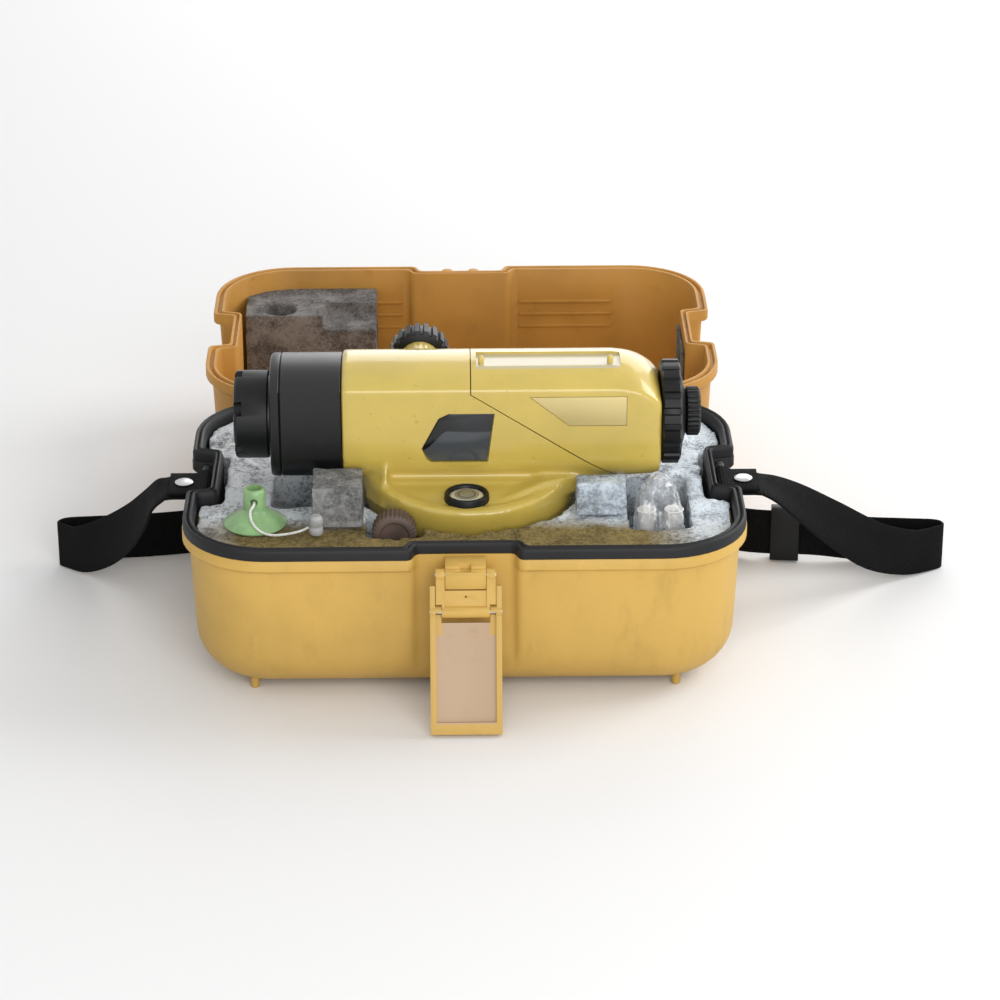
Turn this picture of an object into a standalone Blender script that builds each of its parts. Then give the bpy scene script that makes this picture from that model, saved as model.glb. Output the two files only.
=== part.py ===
"""Automatic optical level in its open moulded carrying case.

Lengths below are in millimetres and become metres when a mesh is made.
The origin is the centre of the case's flat underside, +Z is up, the latch
side of the case faces -Y and the eyepiece end of the level faces +X.
"""
import math

import bmesh
import bpy
from mathutils import Vector

MM = 0.001
GAP = 0.3
FIT = 0.4

# carrying case, seen from above
CASE_W = 330.0
CASE_FRONT = 112.5
CASE_BACK = 108.0
CORNER_R = 51.0
NOTCH_DEPTH = 14.0
NOTCH_HALF = 25.0
NOTCH_Y = 1.0
NOTCH_SLOPE = 3.0
NOTCH_WALL = 5.0
RECESS_DEPTH = 9.0
RECESS_HALF = 28.0
CORNER_STEPS = 5

# carrying case, upright section
WALL = 3.0
RIM_W = 7.0
FLANGE_LIP = 4.0
FLANGE_H = 8.0
FLANGE_TOP = 90.0
DRAFT = 0.0435
FILLET_R = 29.0
LID_H = 96.0
SEAL_TOP = 97.0
FOOT_H = 5.0
FOOT_R = 2.6
FOOT_TOP = 2.5
FOOT_X = CASE_W / 2 - 41.0
FOOT_Y = CASE_FRONT - 28.5
GROOVE_D = 2.5

# hinge along the back rim
HINGE_Y = 112.2
HINGE_Z = SEAL_TOP + GAP / 2
KNUCKLE_R = 3.6
HINGE_PIN_R = 1.5
KNUCKLE_X = 70.0
KNUCKLE_TUB = 20.0
KNUCKLE_LID = 12.0
KNUCKLE_DROP = 14.0

# latch on the front recess
LINK_PIN_Y = -118.0
LINK_PIN_Z = 84.0
LEVER_PIN_Y = -125.0
LEVER_PIN_Z = 64.0
LATCH_PIN_R = 1.5
LATCH_EYE_R = 3.6
LATCH_BLOCK_HALF = 11.6
LINK_HALF = 17.0
LEVER_HALF = 20.5
LEVER_TIP_Y = -146.5
LEVER_TIP_Z = -3.6
LEVER_T = 6.0
LEVER_PANEL = 2.2

# foam
FOAM_TOP = 92.0
FOAM_SLACK = 0.5
FOAM_NOTCH = 2.5
WELL_FLOOR = 30.0
PILLAR_LEFT = (-89.0, -59.0, -72.0, -40.5, 117.0)
PILLAR_RIGHT = (65.0, 95.0, -58.0, -41.0, 112.5)
HOLLOW = (-113.0, -90.5, -39.0, 6.0, 74.0)
POCKET_GAP = 2.0
POCKET = (PILLAR_RIGHT[1] + POCKET_GAP, CASE_W / 2 - 33.0, -72.0, 0.0, 62.0)
BAG_WIDE = 35.0
LID_BLOCK_X = (-CASE_W / 2 + 19.0, -57.0)
LID_BLOCK_BACK = -53.5
LID_BLOCK_LOW = 109.3
LID_BLOCK_HOLE_R = 10.0
LID_PAD_T = 2.0

# the level: where it stands and its telescope
LEVEL_X = 3.0
LEVEL_Y = -8.0
AXIS_Z = 137.0
BODY_HALF = 30.0
BODY_LOW = 103.0
BODY_TOP = 173.8
ARCH_R = 50.0
BODY_CORNER_R = 18.0
BODY_WALL = 6.0
BODY_X0 = -71.5
BODY_X1 = 116.0
SPLIT_X = 4.3
SPLIT_Z = 161.0
SPLIT_END_X = 94.0
SPLIT_END_Z = 104.0
BARREL_X0 = -107.5
RING_X0 = -113.6
TUBE_R = 23.0
TUBE_X0 = -127.0
CAP_X0 = -135.0
CAP_X1 = -115.0
CAP_R = TUBE_R + 3.0
OBJECTIVE_R = 19.0
EYE_RING_R = 31.0
EYE_RING_X1 = 128.0
DIOPTER_R = 14.6
DIOPTER_X0 = 131.0
DIOPTER_X1 = 140.0

# focus drive
FOCUS_X = -26.0
FOCUS_Z = 155.0
FOCUS_R = 18.0
FOCUS_Y0 = 30.5
FOCUS_Y1 = 46.0
PINION_R = 3.5
SHAFT_R = 2.5
CELL_R = 11.0

# lower housing, circular level and slow motion
HULL_RX = 65.0
HULL_RY = 63.0
HULL_LOW = 79.0
WELL_R = max(HULL_RX, HULL_RY) + 2.0
LEDGE_R = WELL_R - 9.6
LEDGE_Z = HULL_LOW - FIT
SHELF_Z = 106.0
SHELF_FALL = 6.0
HULL_CAVITY_R = 54.0
HULL_CAVITY_TOP = 99.0
BUBBLE_X = 1.3
BUBBLE_Y = -53.0
BUBBLE_Z = SHELF_Z - 2.3
BUBBLE_R = 10.0
BEZEL_R = 13.0
TANGENT_X = -41.0
TANGENT_Z = 89.0
TANGENT_R = 13.0
TANGENT_IN = HULL_RY - 6.6
TANGENT_OUT = HULL_RY + 7.0

# foot of the level
TRIBRACH_Z0 = 66.0
TRIBRACH_Z1 = 76.0
BASE_Z0 = 35.0
BASE_Z1 = 41.0
SCREW_REACH = 42.0
SCREW_KNOB_R = 11.0
SPINDLE_R = 9.0
CIRCLE_R = 50.0
CIRCLE_Z = 80.5
CIRCLE_T = 2.5
DRIVE_R = 39.5
TRIPOD_HOLE_R = 8.0

# carrying strap and its bars
STRAP_HALF = 15.0
STRAP_T = 1.6
STRAP_CLEAR = 4.0
BAR_X = CASE_W / 2 - 9.0
BAR_Z = 86.0
BAR_R = 2.5
RIVET_X = BAR_X + 12.0
RIVET_R = 5.5
LOOP_R = 3.7
FLOOR = -FOOT_H

# small things kept in the case
CUP_X = -CASE_W / 2 + 43.0
CUP_Y = -65.0
CUP_R = 18.5
CUP_NECK_R = 6.5
CUP_TOP = 115.0
CORD_R = 0.75

MATERIALS = {
    "case_shell": ((0.62, 0.36, 0.10), 0.5, 0.0),
    "rubber": ((0.012, 0.013, 0.016), 0.7, 0.0),
    "foam_grey": ((0.34, 0.34, 0.35), 0.95, 0.0),
    "foam_brown": ((0.14, 0.11, 0.09), 0.95, 0.0),
    "webbing": ((0.012, 0.012, 0.013), 0.8, 0.0),
    "steel": ((0.55, 0.55, 0.56), 0.35, 1.0),
    "level_paint": ((0.62, 0.44, 0.07), 0.38, 0.0),
    "black_plastic": ((0.02, 0.02, 0.022), 0.45, 0.0),
    "black_paint": ((0.016, 0.017, 0.02), 0.4, 0.2),
    "glass": ((0.55, 0.62, 0.66), 0.06, 0.0),
    "mirror_glass": ((0.10, 0.11, 0.13), 0.2, 0.3),
    "brass": ((0.60, 0.42, 0.16), 0.35, 1.0),
    "alloy": ((0.50, 0.51, 0.52), 0.4, 1.0),
    "knob_brown": ((0.08, 0.05, 0.045), 0.6, 0.0),
    "cup_green": ((0.27, 0.50, 0.22), 0.4, 0.0),
    "cord_white": ((0.80, 0.78, 0.74), 0.7, 0.0),
    "grey_plastic": ((0.38, 0.38, 0.38), 0.5, 0.0),
    "clear_film": ((0.72, 0.74, 0.78), 0.25, 0.0),
}


def clear_scene():
    """Remove every object the file opened with."""
    for old in list(bpy.data.objects):
        bpy.data.objects.remove(old)


def finish_for(name):
    """The material of that name, made the first time it is asked for."""
    found = bpy.data.materials.get(name)
    if found:
        return found
    colour, roughness, metallic = MATERIALS[name]
    found = bpy.data.materials.new(name)
    found.use_nodes = True
    shader = found.node_tree.nodes["Principled BSDF"]
    shader.inputs["Base Color"].default_value = (*colour, 1.0)
    shader.inputs["Roughness"].default_value = roughness
    shader.inputs["Metallic"].default_value = metallic
    return found


def solid(name, points, faces):
    """A closed mesh object from points in millimetres."""
    mesh = bpy.data.meshes.new(name)
    mesh.from_pydata([Vector(p) * MM for p in points], [], faces)
    work = bmesh.new()
    work.from_mesh(mesh)
    bmesh.ops.recalc_face_normals(work, faces=work.faces)
    work.to_mesh(mesh)
    work.free()
    piece = bpy.data.objects.new(name, mesh)
    bpy.context.scene.collection.objects.link(piece)
    return piece


def loft(name, rings, closed=False):
    """Skin rings of equal length; open runs are capped at both ends."""
    count = len(rings[0])
    points = [p for ring in rings for p in ring]
    faces = []
    spans = len(rings) if closed else len(rings) - 1
    for row in range(spans):
        a = row * count
        b = ((row + 1) % len(rings)) * count
        for col in range(count):
            nxt = (col + 1) % count
            faces.append((a + col, a + nxt, b + nxt, b + col))
    if not closed:
        faces.append(tuple(range(count)))
        faces.append(tuple(range(len(points) - count, len(points))))
    return solid(name, points, faces)


def box(name, x0, x1, y0, y1, z0, z1):
    """A block between two corners."""
    low = [(x0, y0, z0), (x1, y0, z0), (x1, y1, z0), (x0, y1, z0)]
    high = [(x, y, z1) for x, y, z in low]
    return loft(name, [low, high])


def along(axis, centre, radius, turn, reach):
    """A point at a radius and angle about an axis through the centre."""
    u = radius * math.cos(turn)
    v = radius * math.sin(turn)
    if axis == "x":
        return (reach, centre[0] + u, centre[1] + v)
    if axis == "y":
        return (centre[0] + u, reach, centre[1] + v)
    return (centre[0] + u, centre[1] + v, reach)


def lathe(name, axis, centre, profile, steps=32, bore=False):
    """Turn (radius, reach) pairs about an axis; bore makes a closed ring."""
    rings = []
    for radius, reach in profile:
        turns = [2 * math.pi * i / steps for i in range(steps)]
        rings.append([along(axis, centre, radius, t, reach) for t in turns])
    return loft(name, rings, closed=bore)


def rod(name, axis, centre, radius, start, end, steps=20):
    """A plain round bar."""
    return lathe(name, axis, centre, [(radius, start), (radius, end)], steps)


SQUARE_RIB = ((0.0, 0), (0.52, 0), (0.6, 1), (0.92, 1))
SHARP_RIB = ((0.0, 0), (0.5, 1))


def ribbed(name, axis, centre, radius, depth, start, end, ribs, bore=0.0,
           rib_form=SQUARE_RIB):
    """A knob with grip ribs round its side and a bevelled edge."""
    turns = []
    radii = []
    for rib in range(ribs):
        for part, cut in rib_form:
            turns.append(2 * math.pi * (rib + part) / ribs)
            radii.append(radius - depth * cut)
    slope = 1.2 if end > start else -1.2
    rows = [(-slope, start), (0.0, start + slope), (0.0, end - slope),
            (-slope, end)]
    rings = []
    for shrink, reach in rows:
        ring = []
        for turn, size in zip(turns, radii):
            if shrink:
                size = radius - depth - abs(shrink)
            ring.append(along(axis, centre, size, turn, reach))
        rings.append(ring)
    if not bore:
        return loft(name, rings)
    for reach in (end, start):
        rings.append([along(axis, centre, bore, t, reach) for t in turns])
    return loft(name, rings, closed=True)


def combine(base, tool, operation):
    """Apply a boolean of the tool to the base and drop the tool."""
    change = base.modifiers.new("change", "BOOLEAN")
    change.operation = operation
    change.solver = "EXACT"
    change.object = tool
    bpy.context.view_layer.update()
    graph = bpy.context.evaluated_depsgraph_get()
    mesh = bpy.data.meshes.new_from_object(base.evaluated_get(graph))
    base.modifiers.clear()
    base.data = mesh
    bpy.data.objects.remove(tool)
    return base


def cut(base, tool):
    """Take the tool's volume out of the base."""
    return combine(base, tool, "DIFFERENCE")


def join(base, tool):
    """Weld the tool's volume onto the base."""
    return combine(base, tool, "UNION")


def keep(base, tool):
    """Keep only what the base shares with the tool."""
    return combine(base, tool, "INTERSECT")


def dress(piece, finish, origin=None, smooth=True):
    """Give a piece its material, and its origin on the axis it turns about."""
    mesh = piece.data
    mesh.materials.clear()
    mesh.materials.append(finish_for(finish))
    if smooth:
        mesh.shade_smooth()
        mesh.set_sharp_from_angle(angle=math.radians(35))
    if origin:
        place = Vector(origin) * MM
        for vertex in mesh.vertices:
            vertex.co -= place
        piece.location = place
    return piece


def case_outline(inset, wall=0.0):
    """The case seen from above, drawn in from its rim, with its notches."""
    hx = CASE_W / 2 - inset
    front = CASE_FRONT - inset
    back = CASE_BACK - inset
    radius = max(CORNER_R - inset, 8.0)
    side = min(hx, CASE_W / 2 - NOTCH_DEPTH - wall)
    half = NOTCH_HALF + wall
    dent = min(front, CASE_FRONT - RECESS_DEPTH - wall)
    wide = RECESS_HALF + wall
    points = [(-wide - NOTCH_SLOPE, -front), (-wide, -dent)]
    points += [(wide, -dent), (wide + NOTCH_SLOPE, -front)]

    def corner(cx, cy, start):
        for i in range(CORNER_STEPS + 1):
            turn = start + math.pi / 2 * i / CORNER_STEPS
            points.append((cx + radius * math.cos(turn),
                           cy + radius * math.sin(turn)))

    corner(hx - radius, -front + radius, -math.pi / 2)
    points.append((hx, NOTCH_Y - half - NOTCH_SLOPE))
    points.append((side, NOTCH_Y - half))
    points.append((side, NOTCH_Y + half))
    points.append((hx, NOTCH_Y + half + NOTCH_SLOPE))
    corner(hx - radius, back - radius, 0.0)
    corner(-hx + radius, back - radius, math.pi / 2)
    points.append((-hx, NOTCH_Y + half + NOTCH_SLOPE))
    points.append((-side, NOTCH_Y + half))
    points.append((-side, NOTCH_Y - half))
    points.append((-hx, NOTCH_Y - half - NOTCH_SLOPE))
    corner(-hx + radius, -front + radius, math.pi)
    return points


def level_ring(inset, z, wall=0.0):
    """The case outline at one height."""
    return [(x, y, z) for x, y in case_outline(inset, wall)]


def shell_rows(height, thick, flange):
    """(inset, depth) pairs up one side of a shell, from its floor to its lip."""
    lip = height - flange
    side = FLANGE_LIP + DRAFT * (lip - FILLET_R)
    rows = []
    radius = FILLET_R - thick
    for i in range(5):
        turn = math.pi / 2 * i / 4
        rows.append((side + thick + radius * (1 - math.sin(turn)),
                     FILLET_R - radius * math.cos(turn)))
    return rows, lip


def make_shell(name, height, groove):
    """A tub with its floor at depth 0 and its rim at the given height."""
    outer, lip = shell_rows(height, 0.0, FLANGE_H)
    inner, lip = shell_rows(height, WALL, FLANGE_H)
    rings = [level_ring(i, z) for i, z in outer]
    rings.append(level_ring(FLANGE_LIP, lip))
    rings.append(level_ring(0.0, lip + 1.5))
    rings.append(level_ring(0.0, height))
    if groove:
        for share, drop in ((0.30, 0), (0.36, 1), (0.64, 1), (0.70, 0)):
            rings.append(level_ring(RIM_W * share, height - GROOVE_D * drop,
                                    NOTCH_WALL * share))
    rings.append(level_ring(RIM_W, height, NOTCH_WALL))
    for inset, z in reversed(inner):
        rings.append(level_ring(inset, z, NOTCH_WALL))
    return loft(name, rings)


def flip(piece):
    """Turn a piece half a turn about the hinge line, closed to open."""
    for vertex in piece.data.vertices:
        vertex.co.y = 2 * HINGE_Y * MM - vertex.co.y
        vertex.co.z = 2 * HINGE_Z * MM - vertex.co.z
    return piece


def knuckle(base, x0, x1, up):
    """Weld one hinge knuckle to a rim; up is 1 for the lid, -1 for the tub."""
    back = HINGE_Y + KNUCKLE_R
    edge = CASE_BACK + 0.6
    z1 = HINGE_Z + up * 7.4
    z2 = HINGE_Z + up * KNUCKLE_DROP
    rim = HINGE_Z + up * 7.9
    join(base, rod("eye", "x", (HINGE_Y, HINGE_Z), KNUCKLE_R, x0, x1, 16))
    low, high = sorted((HINGE_Z, rim))
    join(base, box("web", x0, x1, edge, back, low, high))
    low, high = sorted((z1, z2))
    join(base, box("root", x0, x1, CASE_BACK - 2.5, back, low, high))


def bore_hinge(base):
    """Drill the hinge line through a shell's knuckles."""
    reach = KNUCKLE_X + KNUCKLE_TUB + KNUCKLE_LID
    cut(base, rod("drill", "x", (HINGE_Y, HINGE_Z), HINGE_PIN_R + GAP,
                  -reach, reach, 16))


def make_tub():
    """Lower half of the case with feet, hinge knuckles and latch block."""
    tub = make_shell("case_tub", FLANGE_TOP, False)
    for sx in (-1, 1):
        for y in (-FOOT_Y, FOOT_Y - 6):
            join(tub, rod("foot", "z", (sx * FOOT_X, y), FOOT_R, FLOOR, FOOT_TOP, 12))
    for sx in (-1, 1):
        mid = sx * KNUCKLE_X
        knuckle(tub, mid - KNUCKLE_TUB / 2, mid + KNUCKLE_TUB / 2, -1)
    bore_hinge(tub)
    dent = -CASE_FRONT + RECESS_DEPTH
    half = LATCH_BLOCK_HALF
    join(tub, box("block", -half, half, LINK_PIN_Y, dent + 4.0,
                  LINK_PIN_Z - 14, LINK_PIN_Z + 5.2))
    join(tub, rod("nose", "x", (LINK_PIN_Y, LINK_PIN_Z), LATCH_EYE_R,
                  -half, half, 16))
    cut(tub, rod("drill", "x", (LINK_PIN_Y, LINK_PIN_Z), LATCH_PIN_R + GAP,
                 -half - 1, half + 1, 16))
    return dress(tub, "case_shell")


def make_seal():
    """Rubber seal along the tub rim."""
    rows = ((0.06, FLANGE_TOP + GAP), (0.06, 95.2), (0.2, SEAL_TOP),
            (0.42, SEAL_TOP), (0.5, SEAL_TOP - 1.6), (0.58, SEAL_TOP),
            (0.8, SEAL_TOP), (0.94, 95.2), (0.94, FLANGE_TOP + GAP))
    rings = [level_ring(RIM_W * s, z, NOTCH_WALL * s) for s, z in rows]
    return dress(loft("rim_seal", rings, closed=True), "rubber")


def make_lid():
    """Upper half of the case, made shut and then laid open."""
    lid = make_shell("case_lid", LID_H, True)
    rim = SEAL_TOP + GAP
    for vertex in lid.data.vertices:
        vertex.co.z = (rim + LID_H) * MM - vertex.co.z
    lid.data.flip_normals()
    for sx in (-1, 1):
        mid = sx * KNUCKLE_X
        off = KNUCKLE_TUB / 2 + FIT
        knuckle(lid, mid - off - KNUCKLE_LID, mid - off, 1)
        knuckle(lid, mid + off, mid + off + KNUCKLE_LID, 1)
    bore_hinge(lid)
    inner = -CASE_FRONT + FLANGE_LIP + WALL
    for sx in (-1, 1):
        low, high = sorted((sx * 40.0, sx * 104.0))
        for rib in range(3):
            z = rim + 22.0 + 9.0 * rib
            join(lid, box("rib", low, high, inner - 1.5, inner + 2.6, z, z + 2.4))
        front = -CASE_FRONT + RECESS_DEPTH
        join(lid, rod("keeper", "z", (sx * 9.0, front - 2.8), 4.0, rim + 0.5,
                      rim + 8.0, 16))
    return dress(flip(lid), "case_shell", (0, HINGE_Y, HINGE_Z))


def make_hinge_pin():
    """Steel pin through all the hinge knuckles."""
    reach = KNUCKLE_X + KNUCKLE_TUB / 2 + FIT + KNUCKLE_LID
    pin = rod("hinge_pin", "x", (HINGE_Y, HINGE_Z), HINGE_PIN_R, -reach, reach, 16)
    return dress(pin, "steel")


def plate_between(name, x0, x1, start, end, thick):
    """A flat bar from one (y, z) point to another."""
    dy = end[0] - start[0]
    dz = end[1] - start[1]
    size = math.hypot(dy, dz)
    ny = -dz / size * thick / 2
    nz = dy / size * thick / 2
    side = [(start[0] + ny, start[1] + nz), (end[0] + ny, end[1] + nz),
            (end[0] - ny, end[1] - nz), (start[0] - ny, start[1] - nz)]
    return loft(name, [[(x, y, z) for y, z in side] for x in (x0, x1)])


def make_latch():
    """Link, lever and their two pins."""
    top = (LINK_PIN_Y, LINK_PIN_Z)
    low = (LEVER_PIN_Y, LEVER_PIN_Z)
    arm = LATCH_BLOCK_HALF + FIT
    eye = LATCH_EYE_R
    link = rod("latch_link", "x", low, eye, -13.6, 13.6, 16)
    for sx in (-1, 1):
        a, b = sorted((sx * arm, sx * LINK_HALF))
        join(link, rod("eye", "x", top, eye, a, b, 16))
        join(link, plate_between("arm", a, b, top, low, 5.0))
    dy = (low[0] - top[0]) / 21.2
    dz = (low[1] - top[1]) / 21.2
    mid = (top[0] + dy * 9.0, top[1] + dz * 9.0)
    join(link, plate_between("web", -LINK_HALF, LINK_HALF, mid, low, 3.0))
    for sx in (-1, 1):
        a, b = sorted((sx * 13.6, sx * 22.0))
        cut(link, rod("room", "x", low, eye + 1.4, a, b, 16))
    for point in (top, low):
        cut(link, rod("drill", "x", point, LATCH_PIN_R + GAP, -30, 30, 16))
    dress(link, "case_shell", (0, LINK_PIN_Y, LINK_PIN_Z))

    tip = (LEVER_TIP_Y, LEVER_TIP_Z)
    lever = plate_between("latch_lever", -LEVER_HALF, LEVER_HALF,
                          (low[0] - 2.4, low[1] - 8.0), tip, LEVER_T)
    for sx in (-1, 1):
        a, b = sorted((sx * 14.0, sx * LEVER_HALF))
        join(lever, rod("eye", "x", low, eye, a, b, 16))
        join(lever, plate_between("ear", a, b, low, (low[0] - 4.0, low[1] - 13.0),
                                  5.6))
    run = (tip[0] - low[0], tip[1] - low[1])
    span = math.hypot(*run)
    uy, uz = run[0] / span, run[1] / span
    face = (uz * LEVER_T / 2, -uy * LEVER_T / 2)
    a = (low[0] + uy * 14 + face[0], low[1] + uz * 14 + face[1])
    b = (low[0] + uy * (span - 5) + face[0], low[1] + uz * (span - 5) + face[1])
    cut(lever, plate_between("panel", -LEVER_HALF + 4, LEVER_HALF - 4, a, b,
                             LEVER_PANEL * 2))
    cut(lever, rod("drill", "x", low, LATCH_PIN_R + GAP, -30, 30, 16))
    dress(lever, "case_shell", (0, LEVER_PIN_Y, LEVER_PIN_Z))

    dress(rod("latch_link_pin", "x", top, LATCH_PIN_R, -17.4, 17.4, 16), "steel")
    dress(rod("latch_lever_pin", "x", low, LATCH_PIN_R, -20.8, 20.8, 16), "steel",
          (0, LEVER_PIN_Y, LEVER_PIN_Z))


def make_foam():
    """Lower foam block with its wells, and the loose pillars on it."""
    rows, lip = shell_rows(FLANGE_TOP, WALL + FOAM_SLACK, FLANGE_H)
    wall = NOTCH_WALL + FOAM_NOTCH
    rings = [level_ring(i, z, wall) for i, z in rows]
    rings.append(level_ring(RIM_W + FOAM_SLACK, lip, wall))
    rings.append(level_ring(RIM_W + FOAM_SLACK, FOAM_TOP, wall))
    foam = loft("foam_insert", rings)
    well = (LEVEL_X, LEVEL_Y)
    cut(foam, rod("well", "z", well, WELL_R, LEDGE_Z, FOAM_TOP + 9, 36))
    cut(foam, rod("well_low", "z", well, LEDGE_R, WELL_FLOOR, LEDGE_Z + 9, 36))
    for sign in (-1, 1):
        a = LEVEL_Y + sign * (TANGENT_IN - 12)
        b = LEVEL_Y + sign * (TANGENT_OUT + 3)
        a, b = sorted((a, b))
        cut(foam, box("knob_room", TANGENT_X - TANGENT_R - 2,
                      TANGENT_X + TANGENT_R + 2, a, b,
                      TANGENT_Z - TANGENT_R - 2, FOAM_TOP + 9))
    for x0, x1, y0, y1, z0 in (POCKET, HOLLOW):
        cut(foam, box("pocket", x0, x1, y0, y1, z0, FOAM_TOP + 9))
    dress(foam, "foam_grey", smooth=False)
    for name, spec in (("foam_pillar_left", PILLAR_LEFT),
                       ("foam_pillar_right", PILLAR_RIGHT)):
        x0, x1, y0, y1, z1 = spec
        pillar = box(name, x0, x1, y0, y1, FOAM_TOP + GAP, z1)
        dress(pillar, "foam_brown", smooth=False)


def make_lid_foam():
    """Foam glued inside the lid: a corner block and a thin end pad."""
    rim = SEAL_TOP + GAP
    rows, lip = shell_rows(LID_H, WALL + FOAM_SLACK, FLANGE_H)
    wall = NOTCH_WALL + FOAM_SLACK
    rings = [level_ring(i, rim + LID_H - z, wall) for i, z in rows]
    rings.append(level_ring(RIM_W + FOAM_SLACK, rim, wall))
    block = loft("lid_foam_block", rings)
    x0, x1 = LID_BLOCK_X
    keep(block, box("part", x0, x1, -CASE_FRONT, LID_BLOCK_BACK,
                    LID_BLOCK_LOW, rim + LID_H))
    px0, px1, py0, py1, pz = PILLAR_LEFT
    cut(block, box("relief", px0 - 4, x1 + 5, py0 - 5, LID_BLOCK_BACK + 5,
                   LID_BLOCK_LOW - 5, pz + 2.5))
    for rib in range(3):
        z = rim + 22.0 + 9.0 * rib
        inner = -CASE_FRONT + FLANGE_LIP + WALL
        cut(block, box("rib_room", -105.0, -39.0, inner - 3, inner + 3.2,
                       z - 0.6, z + 3.0))
    cut(block, rod("hole", "z", (CUP_X, CUP_Y), LID_BLOCK_HOLE_R,
                   LID_BLOCK_LOW - 5, LID_BLOCK_LOW + 22, 20))
    dress(flip(block), "foam_brown", (0, HINGE_Y, HINGE_Z), smooth=False)
    face = CASE_W / 2 - NOTCH_DEPTH - NOTCH_WALL - GAP
    pad = box("lid_foam_pad", face - LID_PAD_T, face, NOTCH_Y - 24, NOTCH_Y + 24,
              rim + 8, rim + 62)
    dress(flip(pad), "foam_brown", (0, HINGE_Y, HINGE_Z), smooth=False)


def body_section(inset, x, drop=0.0):
    """Telescope body section: flat sides under a low arch, at one station."""
    half = BODY_HALF - inset
    low = BODY_LOW + inset
    arch = ARCH_R - inset
    centre = BODY_TOP - ARCH_R
    corner = max(BODY_CORNER_R - inset, 3.0)
    right = []
    for i in range(5):
        turn = -math.pi / 2 + math.pi / 2 * i / 4
        right.append((half - corner + corner * math.cos(turn),
                      low + corner + corner * math.sin(turn)))
    edge = math.acos(half / arch)
    for i in range(5):
        turn = edge + (math.pi / 2 - edge) * i / 5
        right.append((arch * math.cos(turn), centre + arch * math.sin(turn)))
    points = right + [(0.0, centre + arch)] + [(-y, z) for y, z in reversed(right)]
    share = 1 - drop / (BODY_TOP - AXIS_Z)
    ring = []
    for y, z in points:
        if z > AXIS_Z:
            z = AXIS_Z + (z - AXIS_Z) * share
        ring.append((x, LEVEL_Y + y, z))
    return ring


def body_tube(name, stations, wall):
    """A tube of body section through (x, inset, drop) stations."""
    rings = [body_section(i, x, d) for x, i, d in stations]
    rings += [body_section(i + wall, x, d) for x, i, d in reversed(stations)]
    return loft(name, rings, closed=True)


def split_region(name, grow):
    """Side view of the rear cover, pulled out across the body."""
    outline = [(SPLIT_X - grow, 200.0), (SPLIT_X - grow, SPLIT_Z - grow / 2),
               (SPLIT_END_X - grow, SPLIT_END_Z - grow),
               (SPLIT_END_X - grow, 90.0), (140.0, 90.0), (140.0, 200.0)]
    return loft(name, [[(x, y, z) for x, z in outline] for y in (-70.0, 60.0)])


def body_stations():
    """Stations along the yellow body, dropping at the eyepiece end."""
    return [(BODY_X0, 0.0, 0.0), (88.0, 0.0, 0.0), (99.0, 0.0, 2.0),
            (108.0, 0.4, 6.5), (113.0, 1.0, 11.0), (BODY_X1, 2.0, 15.5)]


def ellipse(rx, ry, z, steps=40):
    """An oval ring round the level's upright axis."""
    ring = []
    for i in range(steps):
        turn = 2 * math.pi * i / steps
        ring.append((LEVEL_X + rx * math.cos(turn),
                     LEVEL_Y + ry * math.sin(turn), z))
    return ring


def keel_ring(x, half, low, high):
    """A rounded box section of the fairing under the body."""
    soft = min(half, high - low) * 0.4
    ring = []
    for i in range(5):
        turn = -math.pi / 2 + math.pi / 2 * i / 4
        ring.append((half - soft + soft * math.cos(turn),
                     low + soft + soft * math.sin(turn)))
    ring.append((half, high))
    full = [(-y, z) for y, z in reversed(ring)]
    return [(x, LEVEL_Y + y, z) for y, z in ring + full]


def cheek_ring(half, z):
    """One level of the block that carries the body at its objective end."""
    x0 = LEVEL_X - HULL_RX + 2.0 + (z - HULL_LOW) * 0.12
    x1 = x0 + 15.0 - (z - HULL_LOW) * 0.12
    return [(x0 + 9.0, LEVEL_Y - half, z), (x1, LEVEL_Y - half, z),
            (x1, LEVEL_Y + half, z), (x0 + 9.0, LEVEL_Y + half, z),
            (x0, LEVEL_Y + half * 0.6, z), (x0, LEVEL_Y - half * 0.6, z)]


def shelf_fall(name, sign):
    """Wedge above one side's shelf, which falls away from the body."""
    start = LEVEL_Y + sign * BODY_HALF
    end = LEVEL_Y + sign * (HULL_RY + 2)
    side = [(start, SHELF_Z), (end, SHELF_Z - SHELF_FALL), (end, SHELF_Z + 9),
            (start, SHELF_Z + 9)]
    return loft(name, [[(x, y, z) for y, z in side] for x in (-90.0, 90.0)])


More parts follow.
